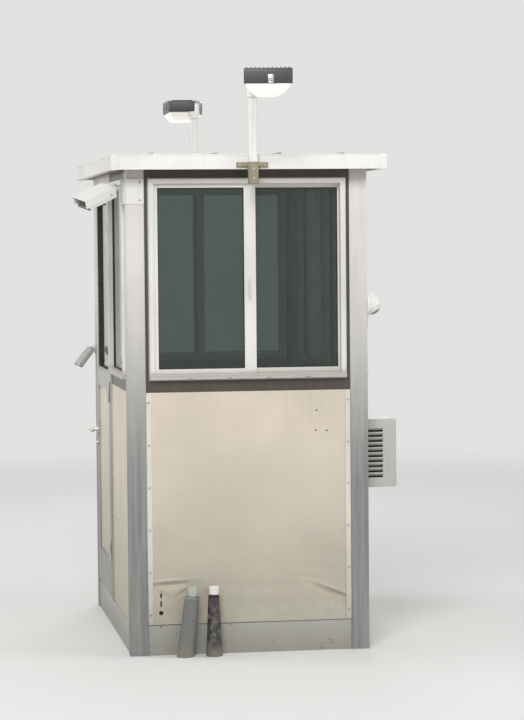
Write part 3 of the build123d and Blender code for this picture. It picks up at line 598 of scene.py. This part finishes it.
screw_in = 0.013
side_row, end_row = [0.24 * step for step in range(-4, 5)], [0.22 * step for step in range(-2, 3)]
bm = bmesh.new()
for side in (-1, 1):
    hex_screws(bm, Matrix.Identity(4), [side * (roof_half_width - screw_in)], side_row, fascia_top)
    hex_screws(bm, Matrix.Identity(4), end_row, [side * (roof_half_depth - screw_in)], fascia_top)
piece("roof_edge_screws", bm, screw_zinc)

cap_reach = 0.031
over_front, over_side = roof_half_depth - half_depth, roof_half_width - half_width
foot_hem = (fascia_foot - 0.0005, fascia_foot + 0.0045)
top_hem = (fascia_top - 0.0065, fascia_top + 0.0005)
bm = bmesh.new()
for wall, overhang, reach in ((front, over_front, roof_half_width), (rear, over_front, roof_half_width),
                              (left, over_side, roof_half_depth), (right, over_side, roof_half_depth)):
    fascia = shifted(wall, out=overhang)
    block(bm, fascia, reach - cap_reach, foot_hem, (-0.001, 0.003), edge=0.0019, segments=3)
    block(bm, fascia, reach - cap_reach, top_hem, (-0.001, 0.0016), edge=0.0012)
    for side in (-1, 1):
        for v in (2.452, 2.488):
            rivet = shifted(fascia, side * (reach - 0.015), v, 0.002) @ Matrix.Diagonal((1, 1, 0.5, 1))
            bmesh.ops.create_uvsphere(bm, u_segments=16, v_segments=8, radius=0.0040, matrix=rivet)
piece("fascia_hems_and_rivets", bm, roof_white)

# Lamps: a pole clamped to the middle of the front and rear fascia, with a tapered head that reaches out.
# White tube in a bracket coloured brown as painted shade under the fascia; dark cast head with cooling fins
# and a frosted lens that is lit.
lamp_pole_paint = weathered_paint("lamp_pole_paint", (0.84, 0.83, 0.81), soil_and_shade=0.0, runs=0.12, roughness=0.3)
# The bracket's brown is painted shade under the fascia.
lamp_bracket_paint = weathered_paint("lamp_bracket_paint", (0.30, 0.26, 0.18), soil_and_shade_top=2.6, soil_and_shade=0.3,
                                     runs=0.3, chips=0.9, roughness=0.55, soil_and_shade_colour=(0.30, 0.27, 0.20))
lamp_head_paint = weathered_paint("lamp_head_paint", (0.055, 0.055, 0.058), soil_and_shade=0.0, runs=0.10,
                                  roughness=0.45, soil_and_shade_colour=(0.2, 0.19, 0.17))

lamp_glass, tree, lens, place = fresh("lamp_lens_frosted")
prisms = wire(tree, "TexVoronoi", {"Vector": place, "Scale": 90.0, "Randomness": 0.2})["Distance"]
facets = eased(tree, prisms, 0.1, 0.6)
feed(tree, lens, {"Base Color": blended(tree, facets, (0.86, 0.845, 0.80, 1), (0.70, 0.68, 0.63, 1)),
                  "Emission Color": blended(tree, facets, (1.0, 0.97, 0.90, 1), (0.86, 0.82, 0.74, 1)),
                  "Emission Strength": 0.55, "Roughness": 0.25, "Normal": bumped(tree, prisms, 0.5, 0.001)})


def splayed(bm, face, near, far, near_half, far_half, low, high, edge, segments=3):
    """A block that widens from near to far. Low and high each give its near and its far height."""
    made = bmesh.ops.create_cube(bm, size=1.0)
    for vertex in made["verts"]:
        outer, top = vertex.co.y < 0, vertex.co.z > 0
        half = far_half if outer else near_half
        vertex.co = face @ Vector((math.copysign(half, vertex.co.x), -far if outer else -near,
                                   (high if top else low)[outer]))
    bm.normal_update()
    rounded(bm, edges_of(made), edge, segments)


plate_level, pole_offset, pole_out = 2.453, 0.010, 1.062
socket_low, socket_top, socket_radius = 2.358, 2.466, 0.0265
pole_radius, pole_low, pole_top = 0.022, 2.369, 2.822
head_length, head_near, head_far, head_yaw = 0.454, 0.0725, 0.1175, -7.5
head_spread = 0.0991
lens_near, lens_far, lens_near_half, lens_far_half = 0.084, 0.447, 0.0738, 0.1098
bowl_drop, bowl_taper, bowl_far_share, bowl_near_share = 0.046, 0.0301, 1.104, 0.906
brackets, poles, fitters, heads, lenses, bolts = (bmesh.new() for _ in range(6))
for turn in (Matrix.Identity(4), Matrix.Rotation(math.pi, 4, "Z")):
    clamp = turn @ wall_face((pole_offset, -roof_half_depth, 0), (1, 0, 0), (0, -1, 0))
    block(brackets, clamp, 0.080, (2.440, 2.466), (0, 0.008), edge=0.002)
    block(brackets, clamp, 0.022, (2.442, 2.464), (0.006, 0.034), edge=0.002)
    for side in (-1, 1):
        gusset = shifted(clamp, side * 0.036, plate_level, 0.011) @ Matrix.Rotation(side * 0.5, 4, "Y")
        block(brackets, gusset, 0.022, 0.009, 0.003, edge=0.001)
    axis = turn @ Matrix.Translation((pole_offset, -pole_out, 0))
    rod(brackets, axis, socket_radius, socket_low, socket_top, edge=0.0015, segments=40)
    for low in (socket_top - 0.008, socket_low):
        rod(brackets, axis, socket_radius + 0.0005, low, low + 0.008, edge=0.0015, segments=40)
    hex_screws(bolts, clamp, (-0.062, 0.062), [plate_level], 0.008)
    hex_screws(bolts, clamp, [0.0], (2.385, 2.430), 0.0640)
    rod(poles, axis, pole_radius, pole_low, pole_top, segments=40)
    hub = shifted(axis, out=pole_top)
    for radius, low, high in ((0.0315, -0.038, 0.050), (0.032, -0.038, -0.028), (0.024, 0.049, 0.052)):
        rod(fitters, hub, radius, low, high, edge=0.0025, segments=48)
    for level in (-0.016, 0.016):
        for side in (-1, 1):
            screw = shifted(hub, out=level) @ Matrix.Rotation(side * 1.0 + 1.5, 4, "Z")
            rod(bolts, turned(screw, 90, "X"), 0.005, 0.030, 0.0355, edge=0.0008, segments=6)
    head = shifted(turned(shifted(hub, out=0.004), head_yaw, "Z"), 0.067, 0.036)
    splayed(heads, head, 0.0, head_length, head_near, head_far, (0, 0), (0.060, 0.075), 0.006)
    splayed(heads, head, 0.020, 0.112, 0.056, 0.065, (0.054, 0.056), (0.0665, 0.0695), 0.003)
    for step in range(-5, 6):
        fin = shifted(head, 0.0120 * step) @ Matrix.Rotation(0.0200 * step, 4, "Z")
        splayed(heads, fin, 0.128, 0.440, 0.0015, 0.0015, (0.058, 0.068), (0.0705, 0.0812), 0.0007,
                segments=1)
    splayed(lenses, head, lens_near, lens_far, lens_near_half, lens_far_half, (-0.006, -0.006),
            (0.001, 0.001), 0.0008, segments=1)
    made = bmesh.ops.create_cube(lenses, size=1.0)
    for vertex in made["verts"]:
        foot = vertex.co.z < 0
        inset = bowl_taper if foot else 0.0
        if vertex.co.y < 0:
            half, along = lens_far_half - bowl_far_share * inset, lens_far - inset
        else:
            half, along = lens_near_half - bowl_near_share * inset, lens_near + inset
        vertex.co = head @ Vector((math.copysign(half, vertex.co.x), -along, -bowl_drop if foot else -0.0055))
    lenses.normal_update()
    rounded(lenses, edges_of(made), 0.007, 4)
    for side in (-1, 1):
        for along in (0.115, 0.265, 0.415):
            clip = shifted(head, side * (head_near + head_spread * along), -along)
            clip = clip @ Matrix.Rotation(side * 0.0988, 4, "Z")
            block(bolts, clip, sorted((0.0006 * side, -0.0105 * side)), 0.007, (-0.0022, 0.0006),
                  edge=0.0006, segments=1)
            block(bolts, clip, sorted((0.0006 * side, -0.0010 * side)), 0.007, (-0.0022, 0.014),
                  edge=0.0004, segments=1)
    latch = head @ wall_face((0.012, -head_length, 0), (1, 0, 0), (0, -1, 0))
    block(bolts, latch, 0.014, (0.006, 0.044), (-0.001, 0.0025), edge=0.0012)
    block(bolts, latch, 0.009, (0.012, 0.038), (0.002, 0.0075), edge=0.0018)
    block(bolts, latch, 0.011, (0.000, 0.010), (0.000, 0.0055), edge=0.0015)
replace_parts(piece("lamp_clamps", brackets, lamp_bracket_paint), "lamp_brackets")
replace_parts(piece("lamp_tubes", poles, lamp_pole_paint), "lamp_poles")
piece("lamp_fitters", fitters, lamp_pole_paint)
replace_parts(piece("lamp_heads", heads, lamp_head_paint), "lamp_housings")
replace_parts(piece("lamp_glasses", lenses, lamp_glass), "lamp_lenses")
piece("lamp_bolts", bolts, screw_zinc)

# Box camera: a flat housing under a folded hood, on a corner plate and junction box on the left front post.
# White powder coat, faintly streaked; dark front window with a lens and small emitters behind it.
camera_white = weathered_paint("camera_white", (0.80, 0.79, 0.76), soil_and_shade=0.0, runs=0.14,
                               roughness=0.32, soil_and_shade_colour=(0.35, 0.32, 0.27))
camera_glass, tree, gloss, place = fresh("camera_glass")
film = noise_on(tree, place, 55.0, 5.0)
dusty = eased(tree, film, 0.45, 0.8)
feed(tree, gloss, {"Base Color": blended(tree, dusty, (0.008, 0.009, 0.012, 1), (0.06, 0.058, 0.055, 1)),
                   "Roughness": eased(tree, film, 0.4, 0.8, 0.06, 0.3), "Coat Weight": 0.6})

post_middle = 0.8695  # from a side wall's middle to the middle of its corner posts
box_level, box_half, plate_wide, plate_tall, plate_sheet = 2.328, 0.0645, 0.093, 0.129, 0.003
bm = bmesh.new()
plate = Matrix.Translation((-0.5665, -0.8715, box_level))
bmesh.ops.create_cube(bm, size=1.0, matrix=plate @ Matrix.Diagonal((plate_wide, plate_wide, plate_tall, 1)))
post_side = [f for f in bm.faces if f.calc_center_median().x > -0.55 or f.calc_center_median().y > -0.85]
bmesh.ops.delete(bm, geom=[f for f in post_side if abs(f.normal.z) < 0.5], context="FACES")
bmesh.ops.delete(bm, geom=[f for f in bm.faces if abs(f.normal.z) > 0.5], context="FACES_ONLY")
bend = [e for e in bm.edges if abs(e.verts[0].co.z - e.verts[1].co.z) > 0.1
        and max(v.co.x for v in e.verts) < -0.6 and max(v.co.y for v in e.verts) < -0.9]
rounded(bm, bend, 0.0045, 4)
bmesh.ops.delete(bm, geom=[v for v in bm.verts if not v.link_faces], context="VERTS")
bmesh.ops.solidify(bm, geom=bm.faces[:], thickness=plate_sheet)
bmesh.ops.recalc_face_normals(bm, faces=bm.faces)
post_box = shifted(left, post_middle, box_level)
block(bm, post_box, 0.039, box_half, (0.0025, 0.0105), edge=0.0025)
block(bm, post_box, 0.036, box_half - 0.003, (0.0100, 0.0120), edge=0.0008)
arm_level, arm_reach = 2.345, 0.052
arm = shifted(left, post_middle, arm_level)
rod(bm, arm, 0.019, 0.0115, 0.020, edge=0.002)
rod(bm, arm, 0.011, 0.012, arm_reach)
swivel = Matrix.Translation((-half_width - arm_reach, -post_middle, arm_level))
rod(bm, swivel, 0.016, -0.018, 0.018, edge=0.002)
rod(bm, swivel, 0.008, -0.0225, 0.0225, edge=0.001, segments=6)
aim = turned(turned(turned(swivel, 27, "Z"), -113, "Y"), -15, "Z")
rod(bm, aim, 0.009, 0.0, 0.027)
rod(bm, aim, 0.020, 0.019, 0.027, edge=0.002)
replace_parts(piece("box_camera_arm", bm, camera_white), "box_camera_bracket")
bm = bmesh.new()
hex_screws(bm, post_box, (-0.028, 0.028), (-0.052, 0.052), 0.0115)
hex_screws(bm, front, [-0.540], (2.284, 2.372), plate_sheet)
piece("box_camera_screws", bm, screw_zinc)

body_high, body_wide, body_long, body_start = 0.058, 0.098, 0.172, 0.026
hood_run, hood_out = (0.038, 0.218), 0.052
bm = bmesh.new()
body = shifted(aim, out=body_start + body_long / 2)
bmesh.ops.create_cube(bm, size=1.0, matrix=body @ Matrix.Diagonal((body_high, body_wide, body_long, 1)))
pointing = aim.to_3x3() @ Vector((0, 0, 1))
rounded(bm, [e for e in bm.edges
             if abs((e.verts[1].co - e.verts[0].co).normalized().dot(pointing)) > 0.99], 0.007, 5)
bm.normal_update()
mouth = [f for f in bm.faces if f.normal.dot(pointing) > 0.99]
bmesh.ops.inset_region(bm, faces=mouth, thickness=0.0055)
sunk = grown(bmesh.ops.extrude_face_region(bm, geom=mouth))
bmesh.ops.delete(bm, geom=mouth, context="FACES")
bmesh.ops.translate(bm, verts=sunk, vec=pointing * -0.009)
bmesh.ops.recalc_face_normals(bm, faces=bm.faces)
block(bm, aim, 0.0294, 0.0494, (0.066, 0.069), edge=0.0004, segments=1)
block(bm, aim, (0.0292, 0.032), hood_out, hood_run, edge=0.0009, segments=1)
for side in (-1, 1):
    block(bm, aim, (-0.0105, 0.0312), sorted((side * 0.0492, side * hood_out)), hood_run, edge=0.0009,
          segments=1)
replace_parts(piece("box_camera_housing", bm, camera_white), "box_camera")
bm = bmesh.new()
for side in (-1, 1):
    knob = turned(shifted(aim, 0.004, side * 0.0515, 0.060), -90 * side, "X")
    rod(bm, knob, 0.006, 0.0, 0.003, edge=0.0008, segments=16)
    rod(bm, knob, 0.0028, 0.0, 0.0042, segments=6)
piece("box_camera_hood_screws", bm, screw_zinc)

window_front = 0.1905
bm = bmesh.new()
ring(bm, aim, (-0.0285, 0.0285), (-0.0485, 0.0485), 0.0045, (0.1965, 0.2000), edge=0.0012)
block(bm, aim, 0.0235, 0.0435, (0.186, window_front), edge=0.0005, segments=1)
eye = shifted(aim, 0.0, 0.018)
rod(bm, eye, 0.0185, 0.190, 0.1940, edge=0.001)
rod(bm, eye, 0.0120, 0.193, 0.1955, edge=0.001)
for row in (-1, 0, 1):
    for column in range(3):
        emitter = shifted(aim, 0.013 * row, -0.036 + 0.013 * column)
        rod(bm, emitter, 0.0042, 0.190, window_front + 0.002, segments=14)
piece("box_camera_window", bm, camera_glass)

# Dome camera: a white dome on a round base with a wedge shaped tail, screwed to the right front post.
# Moulded housing with a seam ring, three screws and a smoked window that looks down and out.
dome_level, dome_base, dome_radius, dome_centre = 1.750, 0.054, 0.0532, 0.024
bm = bmesh.new()
dome_seat = shifted(right, -post_middle, dome_level)
rod(bm, dome_seat, dome_base, 0.0, 0.0155, edge=0.002, segments=56)
rod(bm, dome_seat, 0.0525, 0.015, 0.0175, segments=56)
rod(bm, dome_seat, dome_base, 0.0170, 0.0245, edge=0.0015, segments=56)
made = bmesh.ops.create_cube(bm, size=1.0)
for vertex in made["verts"]:
    low = vertex.co.y < 0
    thick = 0.004 if low else 0.0155
    vertex.co = dome_seat @ Vector((math.copysign(0.022, vertex.co.x), -0.126 if low else -0.036,
                                    thick if vertex.co.z > 0 else 0.0))
bm.normal_update()
rounded(bm, edges_of(made), 0.0015)
profile = []
for step in range(15):
    lift = step * math.pi / 28
    spot = Vector((dome_radius * math.cos(lift), 0, dome_centre + dome_radius * math.sin(lift)))
    profile.append(bm.verts.new(dome_seat @ spot))
arc = [bm.edges.new(pair) for pair in zip(profile, profile[1:])]
bmesh.ops.spin(bm, geom=profile + arc, cent=dome_seat.translation,
               axis=dome_seat.to_3x3() @ Vector((0, 0, 1)), angle=2 * math.pi, steps=48, use_merge=True,
               dvec=(0, 0, 0))
bmesh.ops.remove_doubles(bm, verts=bm.verts, dist=0.00001)
bmesh.ops.recalc_face_normals(bm, faces=bm.faces)
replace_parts(piece("dome_camera_shell", bm, camera_white), "dome_camera")

bm = bmesh.new()
port = turned(shifted(dome_seat, out=dome_centre), 58, "X")
bmesh.ops.create_uvsphere(bm, u_segments=48, v_segments=40, radius=0.0538, matrix=port)
upright = port.inverted()
bmesh.ops.delete(bm, geom=[v for v in bm.verts if (upright @ v.co).z < 0.0395], context="VERTS")
for vertex in grown(bmesh.ops.extrude_edge_only(bm, edges=open_edges(bm))):
    vertex.co = port.translation.lerp(vertex.co, 0.96)
bmesh.ops.recalc_face_normals(bm, faces=bm.faces)
for step in range(3):
    screw = shifted(dome_seat @ Matrix.Rotation(step * 2.094 + 1.57, 4, "Z"), 0.0500)
    rod(bm, screw, 0.0026, 0.024, 0.0262, segments=12)
piece("dome_camera_port", bm, camera_glass)

# Side camera: a bullet camera on the left rear post, turned down along the side.
# Grey painted body with a visor, held by a swivel on a round foot; dark glass end.
side_paint = weathered_paint("side_camera_paint", (0.50, 0.50, 0.49), soil_and_shade=0.0, runs=0.2, roughness=0.35)
bullet_radius, bullet_length, visor_radius, side_level = 0.0245, 0.116, 0.0258, 1.470
foot = shifted(left, -post_middle, side_level)
joint = shifted(foot, out=0.030)
look = turned(turned(joint, 10, "Y"), 52, "X")
bm = bmesh.new()
rod(bm, foot, 0.026, 0.0, 0.008, edge=0.002)
rod(bm, foot, 0.009, 0.006, 0.030)
rod(bm, turned(joint, 90, "X"), 0.013, -0.015, 0.015, edge=0.002)
rod(bm, look, bullet_radius, 0.0, bullet_length, edge=0.004, segments=48, steps=3)
rod(bm, look, bullet_radius + 0.0004, 0.030, 0.033, edge=0.0006, segments=48)
made = bmesh.ops.create_cone(bm, cap_ends=False, segments=48, radius1=visor_radius, radius2=visor_radius,
                             depth=0.088, matrix=shifted(look, out=0.078))
upright = look.inverted()
visor = list({f for v in made["verts"] for f in v.link_faces})
bmesh.ops.delete(bm, geom=[f for f in visor if (upright @ f.calc_center_median()).y < 0.0], context="FACES")
bmesh.ops.solidify(bm, geom=[f for f in visor if f.is_valid], thickness=-0.0012)
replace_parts(piece("side_camera_body", bm, side_paint), "side_camera")
bm = bmesh.new()
rod(bm, look, 0.0222, 0.115, 0.1172, edge=0.001, segments=40)
rod(bm, look, 0.0100, 0.1168, 0.1190, edge=0.001)
for step in range(10):
    emitter = shifted(turned(look, 36 * step, "Z"), 0.0160)
    rod(bm, emitter, 0.0025, 0.1165, 0.1182, segments=12)
piece("side_camera_window", bm, camera_glass)

# Air conditioner: a sheet metal casing through the right wall, louvred at its sides, grille outside.
# Off-white paint, dulled to grey as painted shade of the booth over its side, streaked by rain; screwed
# flange, aluminium fins behind the grille.
ac_paint = weathered_paint("air_conditioner_paint", (0.54, 0.54, 0.52), soil_and_shade_top=1.3, soil_and_shade=0.35, runs=0.3,
                           chips=0.25, worn_edges=0.5)
grille_paint = weathered_paint("grille_paint", (0.42, 0.415, 0.40), soil_and_shade_top=1.3, soil_and_shade=0.3, runs=0.3,
                               chips=0.2)
coat(ac_paint, "air_conditioner_casing")
coat(grille_paint, "air_conditioner_grille")

# The fins are only painted on a flat plate: lighter stripes for the fins, near black stripes of painted shade
# between them.
fins, tree, fin_metal, place = fresh("condenser_fins")
phase = times(tree, wire(tree, "SeparateXYZ", {0: place})[1], 2100.0)
comb = eased(tree, wire(tree, "Math", {0: phase}, operation="SINE")[0], -0.4, 0.6)
feed(tree, fin_metal, {"Base Color": blended(tree, comb, (0.015, 0.015, 0.015, 1), (0.22, 0.22, 0.21, 1)),
                       "Metallic": 0.8, "Roughness": 0.5})
bm = bmesh.new()
block(bm, right, (-0.724, -0.246), (0.849, 1.117), (0.1625, 0.1640))
piece("air_conditioner_coil", bm, fins)

casing_ends = ((-0.765, 1), (-0.205, -1))  # place along the wall, and which way is inwards
slot_middle, slot_level, slot_pitch, slot_count = 0.670, 0.983, 0.026, 10
# A dark plate at the floor of each louvre slot: painted shade in the slots.
louvres, slot_shades = bmesh.new(), bmesh.new()
for y, inward in casing_ends:
    for step in range(slot_count):
        level = slot_level + slot_pitch * (step - (slot_count - 1) / 2)
        blade = Matrix.Translation((slot_middle, y + inward * 0.0080, level + 0.004))
        blade = blade @ Matrix.Rotation(inward * -0.62, 4, "X")
        block(louvres, blade, 0.046, 0.0070, 0.0005)
        slot_shade = Matrix.Translation((slot_middle, y + inward * 0.0156, level))
        block(slot_shades, slot_shade, 0.0458, 0.0003, 0.0088)
piece("air_conditioner_louvres", louvres, ac_paint)
piece("air_conditioner_slot_shades", slot_shades, hole_shade)

bm = bmesh.new()
hex_screws(bm, right, (-0.776, -0.485, -0.194), (0.797, 1.169), -0.002)
for u in (-0.730, -0.485, -0.240):
    for v in (0.843, 1.123):
        rod(bm, shifted(right, u, v), 0.0038, 0.1745, 0.1768, edge=0.0010, segments=16)
piece("air_conditioner_screws", bm, screw_zinc)
bm = bmesh.new()
drain = Matrix.Translation((0.760, -0.235, 0))
rod(bm, drain, 0.008, 0.786, 0.810, edge=0.001)
rod(bm, drain, 0.010, 0.800, 0.810, edge=0.001)
piece("air_conditioner_drain", bm, gasket)


# Conduit risers: two short upright pipes before the front panel, each with an elbow into it.
# Dusty grey and black plastic pipe, the left one leaning; their paler tops and the right one's white top are
# painted highlights from above.
def pipe_plastic(name, colour, highlight_colour, highlight_low, highlight_high):
    """Scuffed plastic, dusty at the foot and paler at the top as a painted highlight."""
    material, tree, plastic, place = fresh(name)
    height = wire(tree, "SeparateXYZ", {0: place})[2]
    scuffs = noise_on(tree, place, 34.0, 6.0, Roughness=0.7)
    body = blended(tree, eased(tree, scuffs, 0.4, 0.72), shade(colour), (0.19, 0.175, 0.15, 1))
    dusty = blended(tree, eased(tree, height, 0.09, 0.0, 0.0, 0.7), body, (0.24, 0.215, 0.175, 1))
    highlighted = blended(tree, eased(tree, height, highlight_low, highlight_high), dusty, shade(highlight_colour))
    feed(tree, plastic, {"Base Color": highlighted, "Roughness": eased(tree, scuffs, 0.3, 0.7, 0.45, 0.75),
                         "Normal": bumped(tree, scuffs, 0.3, 0.0006)})
    return material


grey_pipe = pipe_plastic("grey_pipe", (0.17, 0.18, 0.178), (0.44, 0.475, 0.41), 0.285, 0.315)
black_pipe = pipe_plastic("black_pipe", (0.026, 0.026, 0.024), (0.045, 0.043, 0.04), 0.24, 0.30)
# The cap's white is a painted highlight from the light above.
highlight_cap_paint = weathered_paint("highlight_cap_paint", (0.80, 0.79, 0.75), soil_and_shade=0.0, runs=0.2, roughness=0.4)
riser_left, riser_right, riser_out, riser_top, riser_foot = -0.306, -0.196, 0.975, 0.300, 0.042
for x_top, lean, top_radius in ((riser_left, 7, 0.0354), (riser_right, 0, 0.0273)):
    top = turned(Matrix.Translation((x_top, -riser_out, riser_top)), lean, "Y")
    bm = bmesh.new()
    run = (riser_top + 0.012) / math.cos(math.radians(lean))
    rod(bm, top, riser_foot, -run, 0.0, tip=top_radius, segments=48)
    for level in (0.0, -0.105):
        radius = top_radius + (riser_foot - top_radius) * (-level / run) + 0.0012
        rod(bm, top, radius, level - 0.007, level, edge=0.001, segments=48)
    bmesh.ops.bisect_plane(bm, geom=bm.verts[:] + bm.edges[:] + bm.faces[:], dist=0.00001, plane_co=(0, 0, 0),
                           plane_no=(0, 0, -1), clear_outer=True)
    bmesh.ops.holes_fill(bm, edges=open_edges(bm), sides=0)
    rod(bm, top, 0.0248, -0.002, 0.051, edge=0.007, segments=40, steps=4)
    if x_top == riser_left:
        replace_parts(piece("conduit_riser_left", bm, grey_pipe), "conduit_risers")
    else:
        piece("conduit_riser_right", bm, black_pipe)
        bm = bmesh.new()
        rod(bm, top, 0.0255, 0.006, 0.052, edge=0.008, segments=44, steps=5)
        piece("conduit_riser_cap", bm, highlight_cap_paint)
bm = bmesh.new()
for x_top in (riser_left, riser_right):
    outlet = wall_face((x_top, -riser_out, 0.326), (-1, 0, 0), (0, 1, 0))
    rod(bm, outlet, 0.0165, 0.0, 0.0655)
    rod(bm, outlet, 0.021, 0.054, 0.063, edge=0.001, segments=8)
piece("conduit_nipples", bm, grey_pipe)

# Studio: a plain pale floor that fades into a pale background, soft lamps and the photo's viewpoint.
# The floor and the world show their plain colour to the camera, to gloss and through glass.
pale = (0.76, 0.76, 0.75, 1)


def looked_at(tree):
    rays = wire(tree, "LightPath")
    return most(tree, rays["Is Camera Ray"], most(tree, rays["Is Glossy Ray"], rays["Is Transmission Ray"]))


floor_paint, tree, matt, place = fresh("studio_floor")
feed(tree, matt, {"Base Color": (0.77, 0.77, 0.76, 1), "Roughness": 0.9})
away = wire(tree, "VectorMath", {0: place}, operation="LENGTH")["Value"]
glow = wire(tree, "Emission", {"Color": pale, "Strength": 1.0})[0]
share = times(tree, eased(tree, away, 2.5, 12.0), looked_at(tree))
faded = wire(tree, "MixShader", {0: share, 1: matt.outputs[0], 2: glow})[0]
feed(tree, tree.nodes["Material Output"], {"Surface": faded})
bm = bmesh.new()
bmesh.ops.create_circle(bm, cap_ends=True, segments=96, radius=60.0)
floor_mesh = bpy.data.meshes.new("studio_floor")
bm.to_mesh(floor_mesh)
bm.free()
floor_mesh.materials.append(floor_paint)
floor = bpy.data.objects.new("studio_floor", floor_mesh)
bpy.context.scene.collection.objects.link(floor)

world = bpy.data.worlds.new("studio")
bpy.context.scene.world = world
world.use_nodes = True
tree = world.node_tree
background = tree.nodes["Background"]
feed(tree, background, {"Color": (1.0, 1.0, 1.0, 1), "Strength": 0.36})
plain = wire(tree, "Background", {"Color": pale, "Strength": 1.0})[0]
seen = wire(tree, "MixShader", {0: looked_at(tree), 1: background.outputs[0], 2: plain})[0]
feed(tree, tree.nodes["World Output"], {"Surface": seen})

for name, place, size, power in (
    ("key", (-1.8, -7.0, 6.2), 2.6, 375.0),
    ("fill_right", (6.0, -2.5, 4.0), 3.5, 135.0),
    ("fill_left", (-6.5, 1.5, 4.0), 3.5, 150.0),
    ("back", (1.0, 7.0, 5.0), 3.5, 175.0),
):
    lamp = bpy.data.lights.new(name, "AREA")
    lamp.shape = "SQUARE"
    lamp.size = size
    lamp.energy = power
    lamp_object = bpy.data.objects.new(name, lamp)
    bpy.context.scene.collection.objects.link(lamp_object)
    lamp_object.location = place
    lamp_object.rotation_euler = (Vector((0, 0, 1.3)) - Vector(place)).to_track_quat("-Z", "Y").to_euler()

yaw, pitch, roll = math.radians(8.873), math.radians(-2.766), math.radians(-0.506)
ahead = Vector((math.sin(yaw) * math.cos(pitch), math.cos(yaw) * math.cos(pitch), math.sin(pitch)))
side = Vector((math.cos(yaw), -math.sin(yaw), 0))
upward = side.cross(ahead)
across = side * math.cos(roll) + upward * math.sin(roll)
above = upward * math.cos(roll) - side * math.sin(roll)
photo_focal, photo_height, closer = 798.3, 720, 3.1  # focal length and height in the photo's pixels
camera = bpy.data.cameras.new("camera")
camera.sensor_fit = "VERTICAL"
camera.sensor_height = 36.0
camera.lens = camera.sensor_height / photo_height * photo_focal * closer
camera.clip_end = 200.0
camera_object = bpy.data.objects.new("camera", camera)
bpy.context.scene.collection.objects.link(camera_object)
viewpoint = Matrix((across, above, -ahead)).transposed().to_4x4()
viewpoint.translation = Vector((-1.848, -13.190, 2.078))
camera_object.matrix_world = viewpoint
bpy.context.scene.camera = camera_object
bpy.context.scene.view_settings.view_transform = "Standard"
